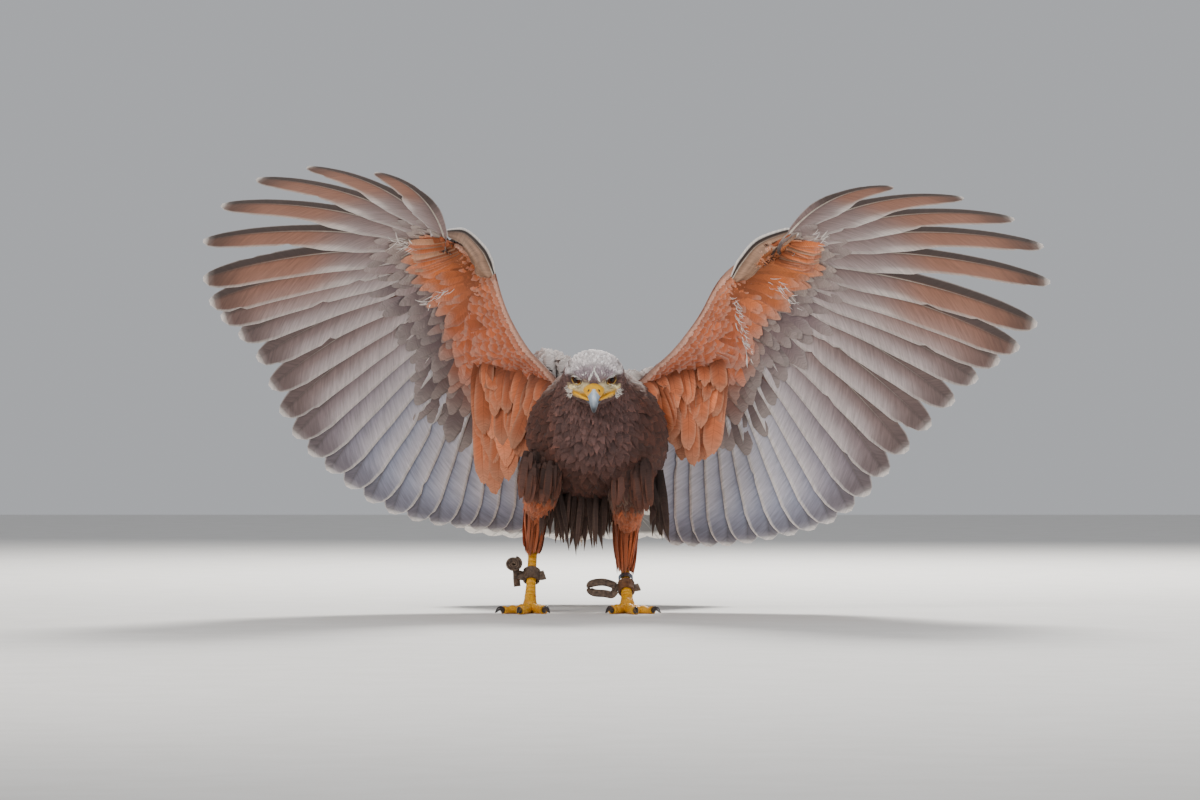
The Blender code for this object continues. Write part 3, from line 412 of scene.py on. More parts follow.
class Pile:
    """Many small surfaces gathered into one piece."""

    def __init__(self):
        self.points, self.faces, self.tints, self.vanes, self.bakes = [], [], [], [], []
        self.count = 0

    def add(self, points, faces, tints, vanes, bakes):
        """Points, faces of four corners, and the tint, vane place and bake place of each point."""
        points, faces = points.reshape(-1, 3), np.asarray(faces).reshape(-1, 4)
        self.points.append(points)
        self.faces.append(faces + self.count)
        self.tints.append(np.broadcast_to(tints, (*tints.shape[:-1], 3)).reshape(-1, 3))
        self.vanes.append(vanes.reshape(-1, 3))
        self.bakes.append(bakes.reshape(-1, 2)[faces])
        self.count += len(points)

    def made(self, name, finish, slot, *nodes):
        """The piece, riding on the body and standing for the nodes."""
        points, faces = np.concatenate(self.points), np.concatenate(self.faces)
        mesh = bpy.data.meshes.new(name)
        mesh.vertices.add(len(points))
        mesh.vertices.foreach_set("co", placed(points).ravel())
        mesh.loops.add(faces.size)
        mesh.loops.foreach_set("vertex_index", faces.ravel().astype(np.int32))
        mesh.polygons.add(len(faces))
        mesh.polygons.foreach_set("loop_start", np.arange(0, faces.size, 4, dtype=np.int32))
        mesh.update(calc_edges=True)
        smoothed(mesh)
        bake = mesh.uv_layers.new(name="OFBake")
        bake.data.foreach_set("uv", np.clip(np.concatenate(self.bakes), 0.0, 1.0).ravel())
        tinted(mesh, np.clip(np.concatenate(self.tints), 0.001, 0.95))
        vane = mesh.attributes.new("vane", "FLOAT_VECTOR", "POINT")
        vane.data.foreach_set("vector", np.concatenate(self.vanes).ravel())
        return settled(mesh, name, finish, slot, *nodes)


def smoothed(mesh):
    mesh.polygons.foreach_set("use_smooth", np.ones(len(mesh.polygons), bool))


def tinted(mesh, colours):
    layer = mesh.color_attributes.new("tint", "FLOAT_COLOR", "POINT")
    layer.data.foreach_set("color", np.concatenate([colours, np.ones((len(colours), 1))], 1).ravel())


def settled(mesh, name, finish, slot, *nodes):
    """A piece of a mesh, with its finish, riding on the body and standing for the nodes; slot is not used.
    """
    mesh.materials.append(finish)
    piece = bpy.data.objects.new(name, mesh)
    bpy.context.scene.collection.objects.link(piece)
    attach(piece, "root")
    if nodes:
        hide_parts(*nodes)
    return piece


def grid_faces(count, rows, columns):
    """Faces of count grids, each of rows by columns of points."""
    r, c = np.meshgrid(np.arange(rows - 1), np.arange(columns - 1), indexing="ij")
    corner = (r * columns + c).ravel()
    one = np.stack([corner, corner + 1, corner + columns + 1, corner + columns], 1)
    return (one[None] + (np.arange(count) * rows * columns)[:, None, None]).reshape(-1, 4)


def rim_faces(count, rows, columns):
    """Faces that close the rims between the upper and the lower grids of count thin vanes."""
    top = np.arange(rows * columns).reshape(rows, columns)
    rim = np.concatenate([top[0, :-1], top[:-1, -1], top[-1, :0:-1], top[:0:-1, 0]])
    following = np.roll(rim, -1)
    below = count * rows * columns
    one = np.stack([following, rim, rim + below, following + below], 1)
    return (one[None] + (np.arange(count) * rows * columns)[:, None, None]).reshape(-1, 4)


def lay(pile, here, lead, out, ahead, behind, tint, bakes, far_tint=None, thick=0.0, rise=0.0,
        bend=0.0, arch=0.0, columns=5, slip=None, nick=0.0, distance=None):
    """Lays feathers on a pile.

    here, lead and out are each station's place on the quill, way to the leading edge and outward
    normal; ahead and behind are the widths to both sides of the quill. tint and far_tint are
    functions of the feathers' places along and across, for the outer and the inner face. slip
    moves points along the feather, nick moves them towards the quill.
    """
    count, rows = here.shape[:2]
    across = np.linspace(-1, 1, columns)[None, None]
    x = np.where(across > 0, across * ahead[..., None], across * behind[..., None]) * (1 - nick)
    height = x * rise - x * x * bend / 2 - arch * across**2 * np.abs(x)
    way = unit(np.gradient(here, axis=1))
    points = here[:, :, None] + lead[:, :, None] * x[..., None] + out[:, :, None] * height[..., None]
    if slip is not None:
        points = points + way[:, :, None] * slip[..., None]
    if distance is None:
        steps = np.linalg.norm(np.diff(here, axis=1), axis=-1)
        distance = np.concatenate([np.zeros((count, 1)), np.cumsum(steps, axis=1)], 1)
    along = np.broadcast_to(np.linspace(0, 1, rows)[None, :, None], x.shape)
    seeds = draw.random(count)[:, None, None] + np.zeros_like(x)
    vanes = np.stack([x, np.broadcast_to(distance[..., None], x.shape), seeds], -1)
    across = np.broadcast_to(across, x.shape)
    middle = rows // 2
    flip = -1 if dot(np.cross(lead[:, middle], way[:, middle]), out[:, middle]).mean() <= 0 else 1
    faces = grid_faces(count, rows, columns)[:, ::flip]
    if not thick:
        pile.add(points, faces, tint(along, across), vanes, bakes(along, across, 0))
        return
    half = thick / 2 * (1 - 0.7 * np.abs(across)) * (1 - 0.5 * along)
    lift = out[:, :, None] * half[..., None]
    low_faces = grid_faces(count, rows, columns)[:, ::-flip] + count * rows * columns
    both = [np.stack(pair) for pair in (
        (points + lift, points - lift),
        (tint(along, across), (far_tint or tint)(along, across)),
        (vanes, vanes),
        (bakes(along, across, 0), bakes(along, across, 1)),
    )]
    rims = rim_faces(count, rows, columns)[:, ::flip]
    pile.add(both[0], np.concatenate([faces, low_faces, rims]), *both[1:])


def strips(count, faces=1):
    """A strip of the bake map for each feather, and one more for its other face."""

    def bakes(along, across, face):
        first = (np.arange(count) * faces + face)[:, None, None]
        u = (first + 0.06 + 0.88 * (across + 1) / 2) / (count * faces)
        return np.stack([u, 0.01 + 0.98 * along], -1)

    return bakes


def patches(u, v):
    """A small patch of the bake map at each feather's root on the unwrapped skin."""

    def bakes(along, across, face):
        left = np.clip(u, 0.004, 0.992)[:, None, None] + BAKE_PATCH * (across + 1) / 2
        return np.stack([left, np.clip(v, 0.004, 0.992)[:, None, None] + BAKE_PATCH * along], -1)

    return bakes


def widths(profile, along):
    places, values = zip(*profile)
    return np.interp(along, places, values)


def quills(pile, here, lead, out, radius, colour, sides=6):
    """The shafts of feathers, as thin tapered rods."""
    count, rows = here.shape[:2]
    turn = np.arange(sides + 1) * 2 * math.pi / sides
    ring = lead[:, :, None] * np.cos(turn)[:, None] + out[:, :, None] * np.sin(turn)[:, None]
    points = here[:, :, None] + ring * radius[:, :, None, None]
    ahead = unit(np.gradient(here, axis=1))
    flip = -1 if dot(np.cross(lead[:, 1], out[:, 1]), ahead[:, 1]).mean() > 0 else 1
    faces = grid_faces(count, rows, sides + 1)[:, ::flip]
    along = np.broadcast_to(np.linspace(0, 1, rows)[None, :, None], points.shape[:3])
    across = np.broadcast_to(np.linspace(-1, 1, sides + 1), points.shape[:3])
    vanes = np.stack([across, along * 100, along * 0 + 0.5], -1)
    pile.add(points, faces, blend_tint(linear(colour[0]), linear(colour[1]), along), vanes,
             strips(count)(along, across, 0))


class Hide:
    """A skin from a grid of points, rows along the body and columns round it, that feathers lie on."""

    def __init__(self, grid):
        self.grid = grid
        steps = np.linalg.norm(np.diff(grid, axis=0), axis=-1).mean(axis=1)
        self.lengths = np.concatenate([[0], np.cumsum(steps)])
        along = np.gradient(grid, axis=0)
        closed = np.concatenate([grid[:, -1:], grid, grid[:, :1]], axis=1)
        around = (closed[:, 2:] - closed[:, :-2]) / 2
        normal = unit(np.cross(around, along))
        outward = grid - grid.mean(axis=1, keepdims=True)
        self.sign = 1 if dot(normal, outward).mean() > 0 else -1
        self.normals = normal * self.sign
        self.total = self.lengths[-1]

    def at(self, distance, turn):
        """Point and normal at a distance along the skin and a turn round it, from 0 to 1."""
        rows, columns = self.grid.shape[:2]
        row = np.interp(distance, self.lengths, np.arange(rows))
        i = np.clip(row.astype(int), 0, rows - 2)
        f = (row - i)[..., None]
        column = (np.asarray(turn) % 1.0) * columns
        j = column.astype(int) % columns
        g = (column - np.floor(column))[..., None]
        k = (j + 1) % columns
        found = []
        for values in (self.grid, self.normals):
            low = values[i, j] * (1 - g) + values[i, k] * g
            high = values[i + 1, j] * (1 - g) + values[i + 1, k] * g
            found.append(low * (1 - f) + high * f)
        return found[0], unit(found[1])

    def round(self, distance):
        """The length round the skin at a distance along it."""
        loops = np.linalg.norm(self.grid - np.roll(self.grid, 1, axis=1), axis=-1).sum(axis=1)
        return np.interp(distance, self.lengths, loops)

    def mesh(self, pile, tint):
        """The skin itself, with its ends closed by small rings of faces."""
        rows, columns = self.grid.shape[:2]
        first, last = (row.mean(axis=0) + (row - row.mean(axis=0)) * 0.02 for row in self.grid[[0, -1]])
        grid = np.concatenate([first[None], self.grid, last[None]])
        grid = np.concatenate([grid, grid[:, :1]], axis=1)[None]
        faces = grid_faces(1, rows + 2, columns + 1)[:, :: self.sign]
        along = np.broadcast_to(np.linspace(0, 1, rows + 2)[None, :, None], grid.shape[:3])
        across = np.broadcast_to(np.linspace(-1, 1, columns + 1), grid.shape[:3])
        bakes = np.stack([(across + 1) / 2, along], -1)
        pile.add(grid, faces, tint(grid), np.stack([across * 50, along * 200, along], -1), bakes)


def coat(pile, hide, distance, turn, length, width, lift, tint, skew, rows=5, columns=5, fray=0.25):
    """Feathers that lie along a skin from roots sunk in it, rising by lift towards their tips."""
    count = len(distance)
    along = np.linspace(0, 1, rows)[None]
    reach = distance[:, None] + length[:, None] * along
    spread = turn[:, None] + (skew * length / hide.round(distance))[:, None] * along
    here, normal = hide.at(reach, spread)
    over = np.maximum(reach - hide.total, 0)[..., None]
    last, before = (hide.at(np.full_like(reach, hide.total - short), spread)[0] for short in (0, 4))
    here = here + unit(last - before) * over
    rise = lift[:, None] * along**0.8 - ROOT_DEPTH * (1 - along) ** 2
    here = here + normal * rise[..., None]
    ahead = unit(np.gradient(here, axis=1))
    lead = unit(np.cross(ahead, normal))
    out = normal_by(lead, ahead, normal)
    half = width[:, None] * widths(BODY_FEATHER, along) / 2
    across = np.linspace(-1, 1, columns)[None, None]
    rounded = -(across**2) * along[..., None] ** 2 * length[:, None, None] * 0.22
    ragged = draw.normal(0, 1, (count, 1, columns)) * fray * length[:, None, None] * 0.3
    slip = rounded + ragged * along[..., None] ** 2
    lay(pile, here, lead, out, half, half, tint, patches(turn % 1.0, distance / hide.total),
        arch=0.18, columns=columns, slip=slip)


def scattered(hide, start, end, spacing, around, keep=None):
    """Roots over a skin, in rows spacing apart with around between neighbours, both as functions."""
    distances, turns = [], []
    place, row = start, 0
    while place < end:
        count = max(int(hide.round(place) / around(place)), 3)
        shares = (np.arange(count) + 0.5 * (row % 2)) / count
        shares = shares + draw.normal(0, JITTER / count, count)
        distances.append(place + draw.normal(0, spacing(place) * JITTER, count))
        turns.append(shares % 1.0)
        place += spacing(place)
        row += 1
    distance, turn = np.concatenate(distances), np.concatenate(turns)
    distance = np.clip(distance, 0.2, hide.total - 0.2)
    if keep is not None:
        kept = keep(hide.at(distance, turn)[0])
        distance, turn = distance[kept], turn[kept]
    return distance, turn


# Body, neck and head


def hermite(places, values, at):
    """Values on a smooth curve through rows of values."""
    places, values = np.asarray(places, float), np.asarray(values, float)
    slopes = np.gradient(values, places, axis=0)
    at = np.clip(at, places[0], places[-1])
    i = np.clip(np.searchsorted(places, at) - 1, 0, len(places) - 2)
    span = (places[i + 1] - places[i])[:, None]
    t = ((at - places[i])[:, None]) / span
    return (
        (2 * t**3 - 3 * t**2 + 1) * values[i]
        + (t**3 - 2 * t**2 + t) * span * slopes[i]
        + (3 * t**2 - 2 * t**3) * values[i + 1]
        + (t**3 - t**2) * span * slopes[i + 1]
    )


def eased(rows, count):
    """Rows of values eased to count stations."""
    return hermite(np.arange(len(rows)), rows, np.linspace(0, len(rows) - 1, count))


def body_grid(count, sides):
    """The skin from the bill's root back to the tail, inside the solids by the coat's depth."""
    rows = [list(map(float, row)) for row in BODY_RINGS]
    for forward, wide, up, down in HEAD_RINGS:
        rows.append([*in_head(forward, 0, 0), HEAD_PITCH, wide, up, down])
    rows = np.array(rows)
    steps = np.linalg.norm(np.diff(rows[:, :3], axis=0), axis=1)
    lengths = np.concatenate([[0], np.cumsum(steps)])
    share = np.linspace(0, 1, count)
    at = lengths[-1] * (1 - share**1.35)
    found = hermite(lengths, rows, at)
    place = np.interp(at, lengths, np.arange(len(rows)))
    depth = np.interp(place, COAT_PLACES, COAT_DEPTHS)
    tilt = np.radians(found[:, 3])
    upward = np.stack([0 * tilt, np.sin(tilt), np.cos(tilt)], 1)
    turn = circle(sides)
    wide = (found[:, 4] - depth)[:, None] * np.cos(turn)
    high = np.where(np.sin(turn) > 0, (found[:, 5] - depth)[:, None], (found[:, 6] - depth)[:, None])
    grid = found[:, None, :3] + np.array([1.0, 0, 0]) * wide[..., None]
    return grid + upward[:, None] * (high * np.sin(turn))[..., None]


def shape_face(grid):
    """Sinks the eye sockets into the skin and raises the brows over them."""
    ahead, aside, upward = head_axes()
    for turn in (1, -1):
        middle, look = eye_place(turn)
        axes = eye_axes(look)
        outer, inner = in_head(11.5, 24.5 * turn, 8.9), in_head(26.5, 12.0 * turn, 8.9)
        along = np.clip((grid - outer) @ (inner - outer) / dot(inner - outer, inner - outer), 0, 1)
        gap = np.linalg.norm(grid - outer - along[..., None] * (inner - outer), axis=-1)
        push = (1 - ramp(gap, 1.0, 6.5))[..., None]
        grid = grid + unit(aside * turn * 0.6 + upward * 0.35 + ahead * 0.6) * push * 3.8
        local = (grid - (middle + look * 13.2)) @ axes.T
        flat = np.hypot(local[..., 0] / 12.5, local[..., 1] / np.where(local[..., 1] > 0, 7.6, 10.0))
        inside = flat < 1
        floor = -8.6 * np.sqrt(np.clip(1 - flat**2, 0, 1)) + 13.2
        height = (grid - middle) @ look
        sunk = np.where(inside & (height > 0), np.minimum(height, floor), height)
        grid = grid + look * (sunk - height)[..., None]
    return grid


BROWN, RUST, BUFF = linear("43241a"), linear("8a4a2a"), linear("cdb59a")
# The first colour on the next line is the near-white painted highlight where the light from behind and above
# catches the head.
PAINTED_HIGHLIGHT, PALE, WHITE = linear("ddd5d3"), linear("d9cfc6"), linear("efe9e2")


def varied(tints, amount=0.16):
    """Each feather a little lighter or darker than its neighbours."""
    return tints * np.exp(draw.normal(0, amount, len(tints)))[:, None]


def tones(colour, count, amount):
    """One colour, in hex or as it is, for count feathers that vary by amount."""
    colour = linear(colour) if isinstance(colour, str) else colour
    return varied(np.broadcast_to(colour, (count, 3)), amount)


def along_tint(root, tip, edge=None, edge_share=0.5):
    """A feather darker at its root than at its tip, with an edge of its own colour."""

    def tint(along, across):
        made = blend_tint(root[:, None, None], tip[:, None, None], ramp(along, 0.1, 0.7))
        if edge is not None:
            side = ramp(np.abs(across), 0.55, 1.0) * ramp(along, 0.2, 0.6)
            rim = np.maximum(ramp(along, 0.72, 1.0), side)
            made = blend_tint(made, edge[:, None, None] + 0 * made, rim * edge_share)
        return made

    return tint


def rimmed(colour, dark, rim, amount, share=0.5):
    """A feather of one colour, dark at its root and some way to a second colour at its rim."""
    return along_tint(colour * dark, colour, blend_tint(colour, rim, amount), share)


def body_tint(points, normals):
    """The markings of body and head, with painted highlights on the crown, brows and nape, for skin and coat
    alike.
    """
    ahead, aside, upward = head_axes()
    local = points - np.array(HEAD_AT)
    forward, off, up = local @ ahead, np.abs(local @ aside), local @ upward
    behind, over = points[..., 1], normals[..., 2]
    lore = ramp(forward, 17, 21) * (1 - ramp(up, 2, 6)) * ramp(up, -14, -10) * ramp(off, 3, 6)
    # The brow and nape masks below mark where the light from behind and above catches the head: painted
    # highlights.
    brow_highlight = ramp(off, 13, 17) * ramp(up, 6.5, 9) * (1 - ramp(up, 13, 16)) * ramp(forward, -2, 4)
    stripe = ramp(off, 21, 24) * ramp(up, 10, 13) * (1 - ramp(up, 17, 20)) * ramp(forward, -12, -4)
    nape_highlight = ramp(over, 0.2, 0.9) * ramp(forward, -80, -20) * (1 - ramp(forward, -16, -2))
    tint = np.broadcast_to(BROWN, points.shape)
    for colour, share in (
        ("604845", 0.7 * ramp(forward, -22, -4)),  # head
        ("8f8187", 0.85 * (ramp(up, 3, 10) * ramp(forward, -10, 4))),  # forehead
        ("ddd5d3", 0.9 * (ramp(up, 9, 19) * ramp(forward, -26, -6) * (1 - ramp(forward, 18, 27)))),  # crown: near-white painted highlight of the light from behind and above
        # nape: painted highlight where it faces up into the light
        ("9c8a80", 0.55 * nape_highlight),
        # brows: painted highlight on the ridges over the eyes
        ("ddd5d3", 0.75 * brow_highlight * (1 - ramp(forward, 22, 26))),
        ("3a2925", 0.7 * stripe),
        ("ead6a4", lore),
        ("e0a832", lore * (1 - ramp(up, -7.5, -3.5))),
        ("c9b8a4", ramp(behind, 112, 150) * ramp(-over, -0.2, 0.5)),  # undertail
        ("efe9e2", ramp(behind, 140, 168) * ramp(over, 0.0, 0.6)),  # rump
    ):
        tint = blend_tint(tint, linear(colour), share)
    return tint


def clear_of_face(points):
    """Leaves the eyes, their lids and the bill's root bare."""
    kept = np.ones(len(points), bool)
    for turn in (1, -1):
        middle, look = eye_place(turn)
        local = points - middle
        depth = local @ look
        apart = np.linalg.norm(local - depth[:, None] * look, axis=1)
        kept &= (apart > 6.6) | (depth < 0)
    ahead, _, upward = head_axes()
    local = points - np.array(HEAD_AT)
    forward, side, up = local @ ahead, np.abs(local[:, 0]), local @ upward
    return kept & ~((forward > 22.5) & (up < 4.5) & (up > -11) & (side > 5))


# The body's coat by distance back from the bill: length, width, lift and the gaps between rows and
# between neighbours. The last distance is the skin's own length.
COAT_AT = (0, 12, 30, 62, 95, 140)
COAT_LENGTH = (3.2, 4.2, 7, 13, 22, 28, 26)
COAT_WIDTH = (1.3, 1.8, 3.0, 6.5, 11, 14, 12)
COAT_LIFT = (0.5, 0.7, 1.4, 3.2, 4.6, 5.2, 3.2)
ROW_GAP = (1.0, 1.25, 2.0, 3.4, 5.0, 6.2, 5.6)
SIDE_GAP = (1.1, 1.4, 2.2, 4.4, 6.2, 7.4, 6.4)
HEAD_END = 62.0


def dress_body():
    hide = Hide(shape_face(body_grid(190, 144)))
    skin = Pile()

    def skin_tint(points):
        normals = np.concatenate([hide.normals[:1], hide.normals, hide.normals[-1:]])
        return body_tint(points[0], np.concatenate([normals, normals[:, :1]], 1))[None] * 0.7

    hide.mesh(skin, skin_tint)
    skin.made("skin_body", SKIN_FINISH, "body_feathers", "torso", "neck", "head")
    length, width, lift, row_gap, side_gap = (
        lambda distance, values=values: np.interp(distance, (*COAT_AT, hide.total), values)
        for values in (COAT_LENGTH, COAT_WIDTH, COAT_LIFT, ROW_GAP, SIDE_GAP))
    for name, start, end, columns, highlight_flecks in (
        ("coat_head", 0.5, HEAD_END, 5, 0.2), ("coat_body", HEAD_END, hide.total, 7, 0.0),
    ):
        pile = Pile()
        distance, turn = scattered(hide, start, end, row_gap, side_gap, keep=clear_of_face)
        points, normals = hide.at(distance, turn)
        count = len(distance)
        tips = varied(body_tint(points, normals), 0.22)
        edge = varied(blend_tint(tips * 1.6, RUST, 0.35), 0.2)
        # Some head feathers above the eyes get near-white edges: painted highlight of the light from above.
        rise = (points - np.array(HEAD_AT)) @ head_axes()[2]
        pale_painted_light = (draw.random(count) < highlight_flecks * ramp(rise, 0, 8))[:, None]
        edge = edge * (1 - pale_painted_light) + PAINTED_HIGHLIGHT * pale_painted_light
        edge = blend_tint(tips, edge, 0.35 + 0.65 * (draw.random(count) < 0.14))
        coat(pile, hide, distance, turn, length(distance) * draw.uniform(0.8, 1.2, count),
             width(distance) * draw.uniform(0.85, 1.15, count),
             lift(distance) * draw.uniform(0.7, 1.25, count), along_tint(tips * 0.6, tips, edge, 0.6),
             draw.normal(0, 0.12, count), columns=columns)
        pile.made(name, BODY_FINISH, "body_feathers")


# Wings


class Curve:
    """The smoothest curve through rows of values, straight beyond its ends."""

    def __init__(self, places, rows):
        self.places, self.rows = np.array(places, float), np.array(rows, float)
        steps = np.diff(self.places)
        slopes = np.diff(self.rows, axis=0) / steps[:, None]
        matrix, sides = np.eye(len(places)), np.zeros_like(self.rows)
        for i in range(1, len(places) - 1):
            matrix[i, i - 1 : i + 2] = steps[i - 1], 2 * (steps[i - 1] + steps[i]), steps[i]
            sides[i] = 6 * (slopes[i] - slopes[i - 1])
        self.bends = np.linalg.solve(matrix, sides)
        self.first = slopes[0] - steps[0] * self.bends[1] / 6
        self.last = slopes[-1] + steps[-1] * self.bends[-2] / 6

    def __call__(self, at):
        places, rows = self.places, self.rows
        at = np.asarray(at, float)
        inside = np.clip(at, places[0], places[-1])
        i = np.clip(np.searchsorted(places, inside) - 1, 0, len(places) - 2)
        step = (places[i + 1] - places[i])[..., None]
        past, left = (inside - places[i])[..., None], (places[i + 1] - inside)[..., None]
        low, high = self.bends[i], self.bends[i + 1]
        found = (
            (low * left**3 + high * past**3) / (6 * step)
            + (rows[i] / step - low * step / 6) * left
            + (rows[i + 1] / step - high * step / 6) * past
        )
        return found + self.first * np.minimum(at - places[0], 0)[..., None] + (
            self.last * np.maximum(at - places[-1], 0)[..., None]
        )


class Wing:
    """Where the feathers of one wing lie, from the tables."""

    def __init__(self, side):
        self.side, self.hand = side, 1.0 if side == "left" else -1.0
        self.root = Curve(ROOT_PLACES, ROOTS[side])
        self.edge = Curve(EDGE_PLACES, EDGES[side])
        self.tip = Curve(PLACES, TIPS[side])
        self.seen = None

    def axis(self, place, along):
        """A point on the quill, which bows towards the leading edge and out of the wing's back."""
        place, along = np.broadcast_arrays(place, along)
        root, tip = self.root(place), self.tip(place)
        ahead = unit(tip - root)
        lead = self.root(place - 0.5) + self.tip(place - 0.5)
        lead = lead - self.root(place + 0.5) - self.tip(place + 0.5)
        lead = square_to(lead, ahead)
        back = -self.hand * np.cross(ahead, lead)
        length = np.linalg.norm(tip - root, axis=-1, keepdims=True)
        outward = np.exp(-place / 4.5)[..., None]
        bow, rise = 0.03 + 0.10 * outward, 0.06 + 0.04 * outward
        middle = (root + tip) / 2 + (lead * bow + back * rise) * length
        return bezier(root, middle, tip, along[..., None])

    def frame(self, place, along):
        place, along = np.broadcast_arrays(np.asarray(place, float), np.asarray(along, float))
        here = self.axis(place, along)
        ahead = unit(self.axis(place, along + 0.02) - self.axis(place, along - 0.02))
        lead = self.axis(place - 0.5, along) - self.axis(place + 0.5, along)
        lead = lead - ahead * dot(lead, ahead)
        apart = np.linalg.norm(lead, axis=-1)
        lead = lead / apart[..., None]
        return here, lead, -self.hand * np.cross(ahead, lead), apart

    def length(self, place):
        return np.linalg.norm(self.tip(place) - self.root(place), axis=-1)

    def chord(self, place):
        return np.linalg.norm(self.edge(place) - self.root(place), axis=-1)

    def at(self, place, distance):
        """The frame at a distance behind the row of roots, or inside the arm ahead of it."""
        place, distance = np.broadcast_arrays(np.asarray(place, float), np.asarray(distance, float))
        here, lead, back, apart = self.frame(place, np.maximum(distance, 0) / self.length(place))
        chord = unit(self.edge(place) - self.root(place))
        return here - chord * np.minimum(distance, 0)[..., None], lead, back, apart

    def height(self, place, distance):
        """How far the arm's surface stands out from the middle of the wing."""
        share = np.clip(1 + distance / self.chord(place), 0, 1)
        half = np.interp(place, ARM_PLACES, ARM_HALF)
        out = np.interp(share, (0, 0.04, 0.12, 0.5), (0.5, 2.0, 3.0, 4.0))
        out = out + (half - 4.0) * ramp(share, 0.5, 0.85)
        return np.where(distance > 0, half * 0.85 * np.exp(-np.maximum(distance, 0) / 14.0), out * 0.92)

    def surface(self, place, distance, face=-1):
        """A point on the arm's skin, or just off the flight feathers behind it."""
        here, _, back, _ = self.at(place, distance)
        return here + back * face * self.height(place, distance)[..., None]

    def spot(self, x, z):
        """The place and distance of the point of the underside seen from the front at x and z."""
        if self.seen is None:
            self.grid = np.meshgrid(np.arange(0.5, 25, 0.25), np.arange(-60, 130, 2.5), indexing="ij")
            self.seen = self.surface(*self.grid)
        (places, distances), seen = self.grid, self.seen
        best = np.argmin((seen[..., 0] - x) ** 2 + (seen[..., 2] - z) ** 2)
        return places.ravel()[best], distances.ravel()[best]

    def bend(self, place, distance):
        """How sharply the wing's surface bends across the feathers."""
        distance = np.maximum(distance, 0)
        here, lead, _, apart = self.at(place, distance)
        outer, inner = self.at(place - 0.5, distance)[0], self.at(place + 0.5, distance)[0]
        ahead = unit(self.at(place, distance + 2)[0] - here)
        slant = dot(outer - inner, ahead)[..., 0] / 2
        before = self.at(place - 0.5, np.maximum(distance - slant, 0))[2]
        after = self.at(place + 0.5, np.maximum(distance + slant, 0))[2]
        return dot(before - after, lead)[..., 0] / apart

    def section(self, place, shrink):
        """A section of the arm from its leading edge to just behind the row of roots."""
        edge, root = self.edge(place), self.root(place)
        chord = root - edge
        length = np.linalg.norm(chord)
        chord = chord / length
        span = self.root(place - 0.4) - self.root(place + 0.4)
        span = unit(span - chord * span.dot(chord))
        fold = np.cross(chord, unit(self.tip(place) - root))
        fold = fold * np.sign(fold.dot(span))
        share = np.clip((np.linalg.norm(fold) - 0.2) / 0.4, 0, 1)
        span = unit(span * (1 - share) + unit(fold) * share)
        back = -self.hand * np.cross(chord, span)
        turn = circle(28)
        share = (1 - np.cos(turn)) / 2
        half = np.interp(place, ARM_PLACES, ARM_HALF)
        out = np.interp(share, (0, 0.04, 0.12, 0.5, 0.85, 0.97, 1), (0, 2.2, 3.2, 4.2, half, half * 0.7, 0))
        out = np.maximum(out - shrink, 0.3) * np.sign(np.sin(turn) + 1e-9)
        along = shrink + share * (length + 5.0 - 2 * shrink)
        return edge + chord * along[:, None] + back * out[:, None]


def wing_feathers(pile, wing, place, start, reach, width, share, profile, face, low, high, tint, bakes,
                  rows, columns, rise=None, far_tint=None, thick=0.0, fray=0.0, nicks=0, skew=0.0,
                  arch=0.05, cling=True, quill=None):
    """Feathers on one face of a wing, 1 its back and -1 its underside.

    low and high are their heights over the wing at root and tip.
    """
    count = len(place)
    along = np.linspace(0, 1, rows)[None]
    long = (reach - start)[:, None]
    distance = start[:, None] + long * along
    places = np.broadcast_to(place[:, None], distance.shape)
    here, lead, back, apart = wing.at(places, distance)
    bend = wing.bend(places, distance)
    out = back * face
    full = widths(profile, along) * width[:, None]
    share, low, high, skew = (np.broadcast_to(value, count)[:, None] for value in (share, low, high, skew))
    if cling:
        here = wing.surface(places, distance, face)
        ahead = wing.surface(places, distance + 2, face) - wing.surface(places, distance - 2, face)
        aside = wing.surface(places - 0.3, distance, face) - wing.surface(places + 0.3, distance, face)
        ahead = unit(ahead)
        lead = square_to(aside, ahead)
        out = normal_by(ahead, lead, out)
        bend = np.where(distance > 4, bend, 0.0)
    here = here + out * (low * (1 - along) + high * along)[..., None]
    here = here + lead * (skew * along * long)[..., None]
    slope = LAP / np.maximum(apart, 4.0) if rise is None else np.full_like(apart, rise)
    slope = np.minimum(slope, 0.35) * face
    slip, nick = None, 0.0
    if fray:
        slip = slipped(along, columns, width[:, None], 0.34, fray)
    if nicks:
        nick = np.zeros((count, rows, columns))
        for i in range(count):
            for _ in range(draw.poisson(nicks)):
                row = draw.integers(int(rows * 0.3), rows - 2)
                edge = 0 if draw.random() < 0.75 else columns - 1
                nick[i, row, edge] = draw.uniform(0.05, 0.16)
                nick[i, row + 1, edge] = nick[i, row, edge] * 0.5
    lay(pile, here, lead, out, full * share, full * (1 - share), tint, bakes, far_tint, thick,
        slope[..., None], (bend * face)[..., None], arch, columns, slip, nick, distance)
    if quill:
        quills(pile, here + out * 0.05, lead, out, quill[0] * (1 - 0.86 * along) + 0 * distance, quill[1])


